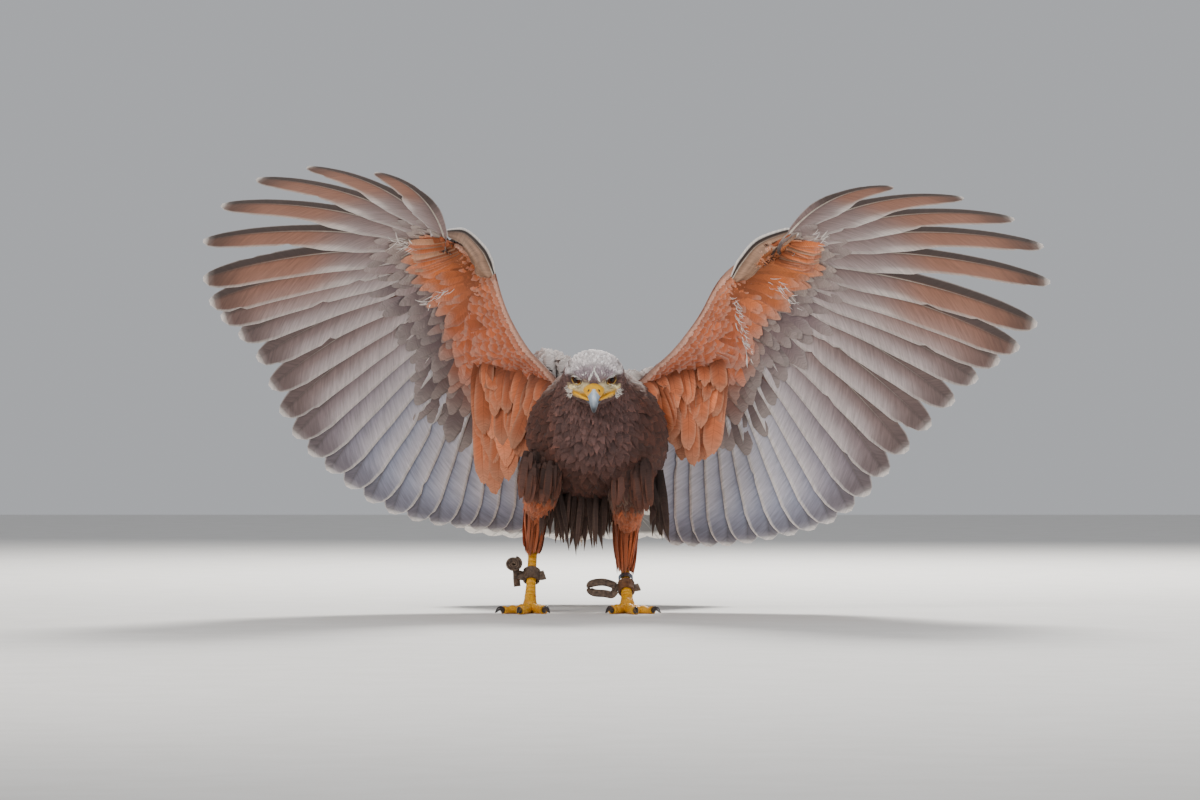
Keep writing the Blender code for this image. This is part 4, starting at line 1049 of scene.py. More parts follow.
def flight_tints(place):
    """The undersides and the backs of the flight feathers, by place; the undersides carry painted light and
    shade.
    """
    p = place[:, None, None]
    inner = ramp(p, 10.5, 16.5)
    finger = 1 - ramp(p, 4.5, 8.5)
    # The pale colour is painted glow of the light from behind shining through single layers, and rim is
    # painted rim light at the edges; dark is the feathers' own dark tips and also painted shade on the
    # leading vanes.
    dark, pale_painted_light, rim = linear("33231e"), linear("e0d5d5"), linear("f8f0ea")

    def under(along, across):
        shape, trailing_glow = along + p * 0, ramp(-across, 0.15, 0.9)
        # The inner feathers' blue-grey is partly their own grey and partly a painted bluish reflection of
        # cool light from below.
        base = blend_tint(linear("8a7370"), linear("8e92a6"), inner + 0 * shape)
        base = base * (1 - 0.22 * ramp(along, 0.1, 0.9) * (1 - inner))[..., None]
        # Painted glow: the trailing halves pale where the light from behind shines through one layer.
        base = blend_tint(base, pale_painted_light, 0.5 * trailing_glow * (1 - ramp(shape, 0.75, 0.95)) * (1 - 0.5 * finger))
        # Painted glow: orange-brown on the fingers' trailing halves, lit through from behind.
        base = blend_tint(base, linear("9d6549"), 0.8 * (ramp(shape, 0.40, 0.62) * finger) * (across < 0.02))
        # Painted shade: the leading vane darkened, where less of the light from behind shines through.
        front = 0.92 * ramp(across, -0.05, 0.12) * ramp(shape, 0.25, 0.5) * (0.35 + 0.65 * finger)
        base = blend_tint(base, dark, front)
        base = blend_tint(base, dark, 0.75 * ramp(shape, 0.78, 0.97) * finger)
        base = blend_tint(base, linear("4f4240"), 0.55 * ramp(shape, 0.82, 0.96) * (1 - finger))
        # Painted glow: a pale patch at each finger's notch, where one thin layer lets the light through.
        notch_glow = np.exp(-(((shape - 0.47) / 0.08) ** 2)) * ramp(-across, 0.6, 1.0) * finger
        base = blend_tint(base, rim, 0.75 * notch_glow)
        base = base * (1 - 0.35 * np.exp(-((across / 0.10) ** 2)))[..., None]
        # Painted rim light: bright edges and tips where the light from behind catches them.
        rim_light = np.maximum(ramp(-across, 0.82, 0.98) * 0.95, ramp(across, 0.9, 1.0) * 0.5)
        rim_light = np.maximum(rim_light * (0.6 + 0.4 * inner), 0.9 * ramp(shape, 0.97, 1.0))
        return blend_tint(base, rim, rim_light)

    def over(along, across):
        base = blend_tint(linear("3d2c25"), linear("5d4a41"), ramp(-across, 0.3, 0.9) + 0 * p)
        return blend_tint(base, linear("8c7a6e"), 0.6 * ramp(along, 0.97, 1.0) + 0 * p)

    return under, over


def flights(wing):
    """Primaries, secondaries and tertials, one firm vane each with its quill."""
    place = np.arange(FLIGHTS, dtype=float)
    for name, groups in (
        ("primaries", ((place < 5, FINGER), ((place >= 5) & (place < 10), FLIGHT))),
        ("secondaries", ((place >= 10, FLIGHT),)),
    ):
        pile = Pile()
        for chosen, profile in groups:
            picked = place[chosen]
            under, over = flight_tints(picked)
            # The root of the left wing's first primary would show beside the alula.
            start = np.where((picked == 0) & (wing.side == "left"), 15.0, -5.0)
            wing_feathers(
                pile, wing, picked, start, wing.length(picked),
                np.interp(picked, FLIGHT_PLACES, FLIGHT_WIDTHS),
                np.interp(picked, FLIGHT_PLACES, FLIGHT_SHARES), profile, 1, 0.0, 0.0, over,
                strips(len(picked), 2), 44, 13, far_tint=under, thick=0.55, nicks=1.3, arch=0.03,
                cling=False, quill=(1.25, ("d9cdbf", "4a3a33")),
            )
        pile.made(name + "_" + wing.side, FLIGHT_FINISH, "flight_feathers")


def tints_by(place, rows):
    """A colour for each place from rows of place and colour."""
    places = [row[0] for row in rows]
    colours = np.array([linear(row[1]) for row in rows])
    return np.stack([np.interp(place, places, colours[:, i]) for i in range(3)], -1)


# Tiers of coverts, from the flight feathers forwards: share of the chord ahead of the roots where
# they start, length, width, steps between neighbours in places, heights at root and tip.
GREATER = (
    (0.04, 96, 30, 0.62, 0.2, 2.2), (0.12, 76, 27, 0.58, 0.6, 3.0), (0.22, 60, 23, 0.52, 0.9, 3.7),
)
LESSER = (
    (0.34, 56, 20, 0.50, 1.7, 5.6), (0.46, 46, 19, 0.50, 1.1, 5.0), (0.57, 40, 18, 0.46, 0.2, 3.8),
    (0.67, 34, 16, 0.43, -0.2, 3.0), (0.76, 29, 14, 0.39, -0.4, 2.5), (0.84, 24, 12, 0.35, -0.5, 2.1),
    (0.91, 19, 10, 0.31, -0.6, 1.8), (0.96, 13, 8, 0.25, -0.6, 1.5), (1.0, 7, 6, 0.2, -0.5, 1.1),
)
UNDER_GREATER = (
    ((0, "917e7b"), (5, "877472"), (9, "746264"), (14, "685859"), (20, "675553"), (26, "9a5a36")),
    ((0, "a08e87"), (5, "948079"), (9, "7d6a69"), (14, "655455"), (18, "6e5550"), (26, "a4532c")),
    ((0, "ab988b"), (5, "a08c80"), (9, "86716c"), (13, "745c58"), (16, "905b48"), (26, "a4532c")),
)
UNDER_LESSER = (
    (0, "c9753c"), (4, "d67a40"), (8, "cf6f38"), (12, "c77046"), (16, "bf6339"), (20, "b45a30"),
    (26, "a4502c"),
)
OVER_GREATER = ((0, "33251f"), (26, "3d2c24"))
OVER_LESSER = ((0, "4a3026"), (8, "6b3a26"), (14, "8a4527"), (26, "5a3526"))
# Each face and group with its tiers and their colours, and each face's share of colour kept at the
# darkened roots, painted shade under the tier before, and colour at the rims.
COVERTS = (
    (-1, "under", "greater", GREATER, UNDER_GREATER), (-1, "under", "lesser", LESSER, (UNDER_LESSER,) * 9),
    (1, "over", "greater", GREATER, (OVER_GREATER,) * 3), (1, "over", "lesser", LESSER, (OVER_LESSER,) * 9),
)
COVERT_ROOT_SHADE = {-1: 0.5, 1: 0.8}
COVERT_RIMS = {-1: PALE, 1: RUST}


def coverts(wing):
    """The small feathers on both faces of the wing, in tiers from the flight feathers forwards."""
    for face, word, group, tiers, tables in COVERTS:
        pile = Pile()
        for number, (share, length, width, step, low, tip) in enumerate(tiers):
            first = 1.5 if group == "greater" else 2.2 if share < 0.5 else 3.2
            place = np.arange(first + 0.4 * (face > 0), 25.6, step)
            count = int((place < 25.6).sum())
            place = place[:count] + draw.normal(0, step * 0.12, count)
            start = -wing.chord(place) * share
            size = np.interp(place, (0, 2, 4, 9, 20, 26), (0.42, 0.7, 0.92, 0.98, 1.0, 0.72))
            if face < 0 and group == "lesser" and number < 3:
                size = size * (1 + 0.22 * np.exp(-(((place - 5) / 3) ** 2)))
            reach = start + length * size * draw.uniform(0.88, 1.12, count)
            colour = varied(tints_by(place, tables[number]), 0.13)
            # The foremost rows underneath are blended to pale orange: painted rim light where the leading
            # edge catches the light from behind.
            if face < 0 and share > 0.95:
                colour = blend_tint(colour, linear("f0c4ae"), 0.55 if share == 1.0 else 0.15)
            thin = np.interp(place, (0, 5, 10), (0.5, 0.8, 1.0))
            high = (tip + draw.normal(0, 0.4, count)) * thin
            # Their roots are darkened: painted shade where each tier lies under the one before.
            wing_feathers(
                pile, wing, place, start, reach, width * size**0.8 * draw.uniform(0.9, 1.1, count), 0.47,
                COVERT, face, low * thin, high, rimmed(colour, COVERT_ROOT_SHADE[face], COVERT_RIMS[face], 0.55),
                patches(place / 26.0, np.full(count, share)), 12, 7, rise=0.04, fray=0.3,
                skew=draw.normal(0, 0.07, count), arch=0.14,
            )
        pile.made(f"{group}_coverts_{word}_{wing.side}", COVERT_FINISH, "flight_feathers")


def arm_skin(wing):
    """The arm's skin, one surface from the wrist to the shoulder."""
    rings = np.array([wing.section(place, 1.6) for place in np.linspace(-0.5, 26.3, 60)])
    hide = Hide(rings)
    pile = Pile()
    hide.mesh(pile, lambda points: np.broadcast_to(linear("a4562e"), points.shape))
    pile.made("skin_arm_" + wing.side, SKIN_FINISH, "flight_feathers",
              *(part + "_" + wing.side for part in ("hand", "forearm", "upper_arm", "alula")))


def bowed(roots, tips, bulge, rows):
    """Quills as bows from roots to tips, with a bulge at the middle."""
    middle = (roots + tips) / 2 + bulge
    return bezier(roots[:, None], middle[:, None], tips[:, None], np.linspace(0, 1, rows)[None, :, None])


def hung(pile, roots, tips, bulge, facing, width, profile, tint, far_tint=None, rows=10, columns=7,
         fray=0.6, arch=0.12, quill=None, thick=0.0):
    """Free feathers between given roots and tips, turned so that they face a way."""
    count = len(roots)
    width = np.broadcast_to(width, count)[:, None]
    here = bowed(roots, tips, bulge, rows)
    ahead = unit(np.gradient(here, axis=1))
    facing = np.broadcast_to(np.asarray(facing, float), roots.shape)[:, None]
    lead = unit(np.cross(ahead, facing))
    out = normal_by(lead, ahead, facing)
    along = np.linspace(0, 1, rows)[None]
    half = widths(profile, along) * width * 0.5
    lay(pile, here, lead, out, half, half, tint, strips(count, 2 if far_tint else 1), far_tint, thick,
        arch=arch, columns=columns, slip=slipped(along, columns, width, 0.25, fray))
    if quill:
        quills(pile, here + out * 0.05, lead, out, quill[0] * (1 - 0.85 * along) + 0 * half, quill[1])


AXILLARY_TIPS = {
    "right": ((-112, 30, 150), (-105, 34, 117), (-88, 30, 132), (-74, 20, 158)),
    "left": ((118, 30, 170), (103, 34, 146), (92, 28, 152), (76, 20, 168)),
}


def axillaries(wing):
    """Long soft rufous feathers that hang from the armpit beside the body."""
    pile = Pile()
    for layer, count in enumerate((8, 9, 10, 16)):
        share = (np.arange(count) + draw.uniform(0.1, 0.9, count)) / count
        place = 19.0 + 6.2 * share
        roots, _, back, _ = wing.at(place, np.full(count, -8.0 - 6 * layer))
        roots = roots - back * 1.5
        table = zip(*AXILLARY_TIPS[wing.side])
        tips = np.stack([np.interp(share * 3, np.arange(4), row) for row in table], 1)
        drop = 1 - (0.0, 0.2, 0.42, 0.68)[layer] * draw.uniform(0.8, 1.1, count)
        tips = roots + (tips - roots) * drop[:, None] + draw.normal(0, 3.5, tips.shape)
        tips = tips + np.array([0, -4.0 * layer, 0])
        colour = tones("bb6238", count, 0.2)
        bulge = np.array([wing.hand * 6.0, -14.0, 2.0]) * drop[:, None] + draw.normal(0, 2.5, tips.shape)
        facing = np.array([0.1 * wing.hand, -1, 0]) + draw.normal(0, 0.16, tips.shape)
        hung(pile, roots, tips, bulge, facing, draw.uniform(15, 22, count) - 1.5 * layer, COVERT,
             rimmed(colour, 0.4, BUFF, 0.5), rows=14, fray=1.0, arch=0.08,
             quill=(0.35, ("8a4a2a", "8a4a2a")))
    pile.made("axillaries_" + wing.side, COVERT_FINISH, "flight_feathers")


# The alula's leading rim, from its root to its tip, and the down on the underside of the wings:
# first and last x and z of each row of barbs, their number and their length.
ALULAS = {
    "right": (
        (-100.7, -14, 341), (-106, -24, 354), (-113, -36, 366), (-130, -66, 382), (-150.5, -98, 384),
    ),
    "left": ((132.6, -14, 338), (142.5, -28, 354), (159, -50, 372), (184, -80, 382), (199, -98, 384)),
}
ALULA = ((0, 0.45), (0.2, 0.9), (0.5, 1), (0.8, 0.8), (0.95, 0.45), (1, 0.2))
ALULA_WIDTHS = (21.0, 19.0, 17.0, 14.0)
DOWN = {
    "right": ((-196, 374, -162, 364, 46, 12), (-168, 316, -149, 328, 26, 10)),
    "left": ((178, 336, 196, 312, 24, 10), (137, 320, 154, 262, 64, 9),
             (226, 372, 212, 380, 12, 11)),
}


def alula(wing):
    """The thumb's four short stiff feathers, bowed over the leading edge of the hand."""
    facing = unit(np.array([0.35 * wing.hand, 1.0, -0.1]))
    pile = Pile()
    count, rows = 4, 26
    inward = (-wing.hand, 0, 1)
    here = []
    for order in range(count):
        stops = np.linspace(0.08 * order, 4 * (1 - 0.17 * order), rows)
        line = hermite(np.arange(5), ALULAS[wing.side], stops)
        across = unit(np.cross(unit(np.gradient(line, axis=0)), facing))
        across = across * np.sign((across @ inward).mean())
        inset = 4.0 + 4.2 * order * np.linspace(0.3, 1, rows)
        here.append(line - across * inset[:, None] + facing * order)
    here = np.array(here)
    way = unit(np.gradient(here, axis=1))
    side = unit(np.cross(way, facing))
    side = side * np.sign(dot(side, inward).mean())
    out = np.cross(side, way)
    out = out * np.sign(dot(out, facing).mean())
    along = np.linspace(0, 1, rows)[None]
    full = widths(ALULA, along) * np.array(ALULA_WIDTHS)[:, None]

    def under(along, across):
        shape = along + 0 * across
        streak = 0.88 + 0.24 * np.sin(14 * across + 9 * shape)
        base = blend_tint(linear("b28c72"), linear("2c1f1b"), ramp(across, -0.15, 0.15)) * streak[..., None]
        base = blend_tint(base, linear("4a3a33"), 0.5 * ramp(shape, 0.8, 0.97))
        # The white along the vane's narrow edge and at its tip is painted rim light from behind.
        return blend_tint(base, WHITE, np.maximum(ramp(across, 0.5, 0.75), ramp(shape, 0.97, 1.0)) * 0.95)

    def over(along, across):
        return blend_tint(linear("33251f"), PALE, 0.5 * ramp(np.abs(across), 0.85, 1.0))

    lay(pile, here, side, out, full * 0.32, full * 0.68, over, strips(count, 2), under, 0.5,
        columns=9, arch=0.05)
    quills(pile, here, side, out, 0.8 * (1 - 0.8 * along) + 0 * full, ("cdbfae", "4a3a33"))
    pile.made("alula_vanes_" + wing.side, FLIGHT_FINISH, "flight_feathers")


def down(wing):
    """White downy barbs that show between the coverts."""
    pile = Pile()
    for x0, z0, x1, z1, count, length in DOWN[wing.side]:
        share = draw.random(count)
        spots = np.array([wing.spot(x0 + (x1 - x0) * t, z0 + (z1 - z0) * t) for t in share])
        place, distance = spots.T + draw.normal(0, 0.3, (2, count)) * np.array([[0.7], [14]])
        roots = wing.surface(place, distance)
        ends = place + draw.normal(0, 0.35, count), distance + length * draw.uniform(0.6, 1.1, count)
        tips = wing.surface(*ends)
        back = wing.at(place, distance)[2]
        lift = draw.uniform(3.0, 6.0, count)[:, None]
        colour = tones("efe6e0", count, 0.06)
        hung(pile, roots - back * 4.0, tips - back * lift, -back * 1.5 + draw.normal(0, 1.0, roots.shape),
             -back, draw.uniform(0.5, 1.3, count), ((0, 0.8), (0.5, 1.0), (1, 0.25)),
             along_tint(colour, colour), rows=8, columns=3, fray=0.5, arch=0.0)
    pile.made("down_" + wing.side, COVERT_FINISH, "flight_feathers")


# Slender rufous feathers over the end of the hand: first and last x and z of their roots and tips.
HAND_TUFTS = {
    "right": ((-133, 358, -150, 372), (-178, 340, -184, 371)),
    "left": ((176, 350, 192, 370), (214, 345, 222, 366)),
}


def hand_tuft(wing):
    pile = Pile()
    lift = np.array([0, -1.0, 0])
    for tone, shift, count in (("c08a68", 3.0, 9), ("cf6f3a", 0.0, 24)):
        share = (np.arange(count) + draw.uniform(0, 1, count)) / count
        roots, tips = (
            np.array([
                wing.surface(*map(np.array, wing.spot(
                    xa + (xb - xa) * t + wing.hand * far, za + (zb - za) * t)))
                for t in share])
            for (xa, za, xb, zb), far in zip(HAND_TUFTS[wing.side], (0, shift)))
        tips = tips + draw.normal(0, 2.0, tips.shape)
        colour = tones(tone, count, 0.2)
        hung(pile, roots + lift * 8.5, tips + lift * 8, lift * 4, lift, draw.uniform(5, 9, count),
             COVERT, rimmed(colour, 0.5, PALE, 0.4))
    pile.made("hand_tuft_" + wing.side, COVERT_FINISH, "flight_feathers")


def dress_wing(side):
    wing = Wing(side)
    for part in (arm_skin, flights, coverts, axillaries, alula, down, hand_tuft):
        part(wing)


# Tail


class Tail:
    """Where the tail feathers lie, by place from the middle, one apart."""

    def __init__(self):
        slope = math.radians(TAIL_SLOPE)
        self.behind = np.array([0, math.cos(slope), -math.sin(slope)])
        self.up = np.array([0, math.sin(slope), math.cos(slope)])

    def axis(self, place, along):
        place, along = np.broadcast_arrays(np.asarray(place, float), np.asarray(along, float))
        outermost = (TAIL_FEATHERS - 1) / 2
        angle = np.radians(TAIL_FAN * place / outermost)[..., None]
        length = (TAIL_LENGTH - 14 * (place / outermost) ** 2)[..., None]
        aside = np.array([1.0, 0, 0])
        root = np.array(TAIL_ROOT) + aside * (TAIL_SPACING * place)[..., None]
        ahead = self.behind * np.cos(angle) + aside * np.sin(angle)
        t = along[..., None]
        return root + ahead * t * length + self.up * 4 * t * (1 - t) * 0.02 * length

    def at(self, place, distance):
        along = distance / TAIL_LENGTH
        here = self.axis(place, along)
        ahead = unit(self.axis(place, along + 0.02) - self.axis(place, along - 0.02))
        lead = self.axis(place + 0.5, along) - self.axis(place - 0.5, along)
        lead = square_to(lead, ahead)
        return here, lead, np.cross(lead, ahead)


def tail_feathers(pile, fan, place, start, reach, layer, width, profile, tint, bakes, rows, columns,
                  thick=0.0, share=0.5, fray=0.0, quill=None, arch=0.03):
    start, reach, width, share, layer = (
        np.broadcast_to(value, place.shape)[:, None] for value in (start, reach, width, share, layer))
    along = np.linspace(0, 1, rows)[None]
    distance = start + (reach - start) * along
    here, lead, up = fan.at(np.broadcast_to(place[:, None], distance.shape), distance)
    here = here + up * layer[..., None]
    full = widths(profile, along) * width
    out = up * np.sign(layer.sum())
    slip = slipped(along, columns, width, 0.25, fray) if fray else None
    lay(pile, here, lead, out, full * share, full * (1 - share), tint, bakes, None, thick,
        arch=arch, columns=columns, slip=slip)
    if quill:
        quills(pile, here, lead, out, quill[0] * (1 - 0.85 * along) + 0 * full, quill[1])


# Tiers of tail coverts above (1) and below (-1): half spread in places, reach and number.
TAIL_COVERTS = (
    (1, ((3, 30, 16), (3.4, 52, 18), (3.8, 76, 20), (3.2, 98, 14))),
    (-1, ((3.4, 30, 9), (4.2, 58, 12), (4.6, 88, 14), (4.2, 116, 12))),
)


def dress_tail():
    fan = Tail()
    place = np.arange(TAIL_FEATHERS) - (TAIL_FEATHERS - 1) / 2
    pile = Pile()

    def banded(along, across):
        shape = along + 0 * across
        base = blend_tint(linear("d8cdc2"), linear("2b201c"), ramp(shape, 0.26, 0.36))
        base = blend_tint(base, linear("dcd4cc"), ramp(shape, 0.885, 0.92))
        return base * (1 - 0.3 * np.exp(-((across / 0.08) ** 2)))[..., None]

    layer = -1.0 * (np.abs(place) - 0.5 + (place < 0))
    tail_feathers(pile, fan, place, 6.0, TAIL_LENGTH, layer, 40.0, FLIGHT, banded,
                  strips(len(place), 2), 40, 11, 0.55, 0.5 + 0.12 * np.sign(place),
                  quill=(1.1, ("d9cdbf", "3a2c26")))
    pile.made("tail_vanes", FLIGHT_FINISH, "flight_feathers", "tail")
    pile = Pile()
    for sign, rows in TAIL_COVERTS:
        for number, (spread, reach, amount) in enumerate(rows):
            place = np.linspace(-spread, spread, amount) + draw.normal(0, 0.15, amount)
            high = (9.5 - 1.6 * number) + draw.normal(0, 0.8, amount)
            colour = linear("e9e1d6") if sign < 0 else blend_tint(BROWN, WHITE, 0.4 + 0.2 * number)
            colours = tones(colour, amount, 0.08)
            tail_feathers(pile, fan, place, -34.0 + 13 * number, reach * draw.uniform(0.82, 1.12, amount),
                          high * sign, draw.uniform(13, 20, amount), COVERT,
                          along_tint(colours * 0.85, colours, colours * 1.1, 0.3),
                          patches(0.5 + place / 12, np.full(amount, 0.1 + 0.2 * number + 0.05 * sign)),
                          9, 7, fray=0.8, arch=0.14)
    pile.made("tail_coverts", BODY_FINISH, "body_feathers")


# Legs


def across_of(direction, up=(0, 0, 1)):
    side = unit(np.cross(direction, up))
    return side, np.cross(side, unit(direction))


# The thigh from above the knee to the hock: share of the way, half width, above, below, inwards.
THIGH_ROWS = (
    (-0.30, 15, 17, 17, 5), (-0.12, 20, 25, 24, 4), (0.12, 20, 27, 27, 2),
    (0.40, 16, 20, 22, 0), (0.68, 12, 13, 16, 0), (0.90, 9, 9, 12, 0), (1.02, 6.5, 6, 8, 0),
)
# How deep the thigh's coat lies over its skin.
COAT_INSET = 4.6
# How high the thigh's brown feathers begin and how low its rufous ones hang.
THIGH_MARKS = {"right": (116, 59), "left": (106, 40)}


def dress_thigh(side):
    knee, hock, ankle = leg(side)
    inward = -np.sign(knee[0])
    aside, upward = across_of(hock - knee)
    rows = hermite([row[0] for row in THIGH_ROWS], THIGH_ROWS, np.linspace(-0.30, 1.02, 50))
    centres = knee + (hock - knee) * rows[:, :1] + np.array([inward, 0, 0]) * rows[:, 4:5]
    wide, above, below = (rows[:, 1:4] - COAT_INSET).T[..., None]
    turn = circle(40)
    high = np.where(np.sin(turn) > 0, above, below) * np.sin(turn)
    hide = Hide(centres[:, None] + aside * (wide * np.cos(turn))[..., None] + upward * high[..., None])
    pile = Pile()
    brown_from, cuff_to = THIGH_MARKS[side]
    hide.mesh(pile, lambda points: blend_tint(
        linear("6a3219"), BROWN * 0.7, ramp(points[..., 2], brown_from - 6, brown_from + 4)))
    pile.made("skin_thigh_" + side, SKIN_FINISH, "thigh_feathers", "thigh_" + side)
    pile = Pile()
    distance, turn = scattered(hide, 1, hide.total, lambda d: 3.4, lambda d: 4.0)
    count = len(distance)
    points = hide.at(distance, turn)[0]
    colour = blend_tint(linear("a4512a"), BROWN, ramp(points[:, 2], brown_from, brown_from + 12))
    colour = varied(colour, 0.2)
    late = ramp(distance, hide.total * 0.6, hide.total)
    coat(pile, hide, distance, turn, (17 + 5 * late) * draw.uniform(0.8, 1.25, count),
         6.5 * draw.uniform(0.8, 1.2, count), 3.6 + draw.normal(0, 0.8, count),
         rimmed(colour, 0.7, BUFF, 0.35, 0.45), draw.normal(0, 0.1, count), rows=6, columns=7, fray=0.4)
    # Shaggy feathers that hang round the top of the tarsus.
    count = 720
    drop = cuff_to + 52 * draw.random(count) ** 1.1
    low = hock + (ankle - hock) * ((drop - hock[2]) / (ankle[2] - hock[2]))[:, None]
    low[:, 1] -= 6
    around = draw.uniform(0, 2 * math.pi, count)
    way = np.stack([np.cos(around), np.sin(around), 0 * around], 1)
    rise = draw.uniform(0.0, 0.62, count)
    high = hock + (knee - hock) * rise[:, None]
    roots = high + way * (1, 1.5, 1) * np.interp(rise, (0, 0.1, 0.32, 0.62), (6.5, 8.5, 12, 14.5))[:, None]
    tips = low + way * draw.uniform(4.5, 8.5, count)[:, None] + draw.normal(0, 1.0, roots.shape)
    colour = tones("a4512a", count, 0.35)
    facing = way + draw.normal(0, 0.4, way.shape)
    hung(pile, roots, tips, way * draw.uniform(0, 3, count)[:, None], facing,
         draw.uniform(2, 4.2, count), COVERT, rimmed(colour, 0.6, BUFF, 0.3, 0.4), columns=5, fray=1.0)
    # Flank feathers that lie over the top of the thigh.
    count = 200
    x = knee[0] + draw.uniform(-16, 22, count) * -inward
    roots = np.stack([x * 0.92, draw.uniform(-38, -4, count), draw.uniform(146, 164, count)], 1)
    tips = np.stack([x, draw.uniform(-22, 4, count), brown_from + draw.uniform(-4, 26, count)], 1)
    colour = tones("4b3129", count, 0.3)
    hung(pile, roots, tips, (0, -13.0, 0), (0.15 * -inward, -1, 0.1), draw.uniform(4, 8.5, count), COVERT,
         rimmed(colour, 0.6, RUST, 0.5, 0.6), columns=5, fray=1.6)
    pile.made("coat_thigh_" + side, BODY_FINISH, "thigh_feathers")


def ring_faces(count, sides, closed=False):
    """Faces between rings, and between the last and the first where closed."""
    faces = []
    for i in range(count if closed else count - 1):
        following = (i + 1) % count
        for j in range(sides):
            k = (j + 1) % sides
            faces.append((i * sides + j, i * sides + k, following * sides + k, following * sides + j))
    return faces


def closed_mesh(name, points, faces):
    """A mesh of points in the tables' millimetres, its faces turned outwards."""
    mesh = bpy.data.meshes.new(name)
    mesh.from_pydata([tuple(p) for p in placed(points)], [], faces)
    bm = bmesh.new()
    bm.from_mesh(mesh)
    bmesh.ops.recalc_face_normals(bm, faces=bm.faces)
    bm.to_mesh(mesh)
    bm.free()
    return mesh


def rounded(name, rings, finish, slot, nodes=(), tint=None):
    """A smooth closed body through rings of points."""
    rings = np.asarray(rings, float)
    count, sides = rings.shape[:2]
    ends = [rings[0].mean(axis=0)[None], rings[-1].mean(axis=0)[None]]
    points = np.concatenate([rings.reshape(-1, 3), *ends])
    faces = ring_faces(count, sides)
    first, last = len(points) - 2, len(points) - 1
    for j in range(sides):
        k = (j + 1) % sides
        faces.append((first, k, j))
        faces.append((last, (count - 1) * sides + j, (count - 1) * sides + k))
    mesh = closed_mesh(name, points, faces)
    smoothed(mesh)
    if tint is not None:
        paint(mesh, tint)
    return settled(mesh, name, finish, slot, *nodes)


def paint(mesh, tint):
    """Gives each point of a mesh its tint from its place in the tables."""
    points = np.empty(len(mesh.vertices) * 3)
    mesh.vertices.foreach_get("co", points)
    points = points.reshape(-1, 3) / MM - SHIFT
    tinted(mesh, np.broadcast_to(tint(points), points.shape))


def activate(*pieces):
    """Selects the pieces alone, the first of them active."""
    bpy.ops.object.select_all(action="DESELECT")
    for piece in pieces:
        piece.select_set(True)
    bpy.context.view_layer.objects.active = pieces[0]


# The scutes' relief: share of the way down a scute and how far it stands out.
SCUTE = ((0.02, 0.0), (0.12, 0.35), (0.5, 0.55), (0.86, 0.75), (0.97, 0.35))


def tarsus(side):
    """The bare leg, with broad scutes lapped down its front."""
    _, hock, ankle = leg(side)
    aside, upward = across_of(ankle - hock)
    step = (ankle - hock) / SCUTES
    turn = circle(32)
    front = np.clip(np.sin(turn), 0, 1) ** 0.5
    back = np.clip(-np.sin(turn), 0, 1) ** 0.7
    rings = []
    for i in range(SCUTES):
        for along, raised in SCUTE:
            radius = TARSUS_RADIUS + 1.6 * abs(2 * (i + along) / SCUTES - 1) ** 3
            rows = radius * (0.92 + 0.08 * np.abs(np.sin(turn))) + raised * front + raised * 0.5 * back
            rings.append(ring_at(hock + step * (i + along), aside, upward, rows, rows, turn))
    rounded("leg_" + side, rings, YELLOW_FINISH, "yellow_skin", ("tarsus_" + side,))


def toe_path(side, toe):
    """Where a toe starts on the floor, the way that it points and its length."""
    ankle, foot_turn = LEGS[side][2:]
    turn, length, *_ = TOES[toe]
    angle = math.radians(foot_turn + turn * np.sign(ankle[0]))
    return np.array([ankle[0], ankle[1] - 8, 0.0]), np.array([math.sin(angle), -math.cos(angle), 0]), length


def foot(side):
    """Pad and toes in one skin, scuted above and padded below."""
    _, hock, ankle = leg(side)
    down_way = unit(ankle - hock)
    aside, upward = across_of(down_way)
    turn = circle(28)
    up = np.array([0, 0, 1.0])

    def above_floor(rings, floor):
        for ring in rings:
            ring[:, 2] = np.maximum(ring[:, 2], floor)
        return rings

    rings = []
    for along in np.linspace(0, 15, 12):
        radius = np.interp(along, (0, 4, 9, 15), (5.9, 6.4, 7.6, 6.6))
        round_way = aside * np.cos(turn)[:, None] + upward * np.sin(turn)[:, None]
        rings.append(ankle + down_way * along + round_way * radius)
    made = [rounded("pad", above_floor(rings, 0.1), YELLOW_FINISH, "yellow_skin")]
    for name, (_, length, root, end, _) in TOES.items():
        start, ahead, _ = toe_path(side, name)
        across = np.cross(ahead, up)
        joints = 3 if length > 30 else 2
        rings = []
        scutes = int(length / 3.2)
        for along in np.linspace(0, 1, scutes * 4 + 1):
            radius = (root + (end - root) * along) * (1 + 0.10 * math.cos(2 * math.pi * joints * along))
            centre = start + ahead * length * along + up * radius * 0.86
            tall = radius + 0.45 * ((along * scutes) % 1.0) * np.clip(np.sin(turn), 0, 1)
            rings.append(ring_at(centre, across, up, radius, tall, turn))
        made.append(rounded("toe", above_floor(rings, 0), YELLOW_FINISH, "yellow_skin"))
        claw(side, name)
    activate(*made)
    bpy.ops.object.join()
    piece = made[0]
    piece.name = "foot_skin_" + side
    piece.data.remesh_voxel_size = 0.0006
    bpy.ops.object.voxel_remesh()
    smoothed(piece.data)
    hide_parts("foot_" + side)


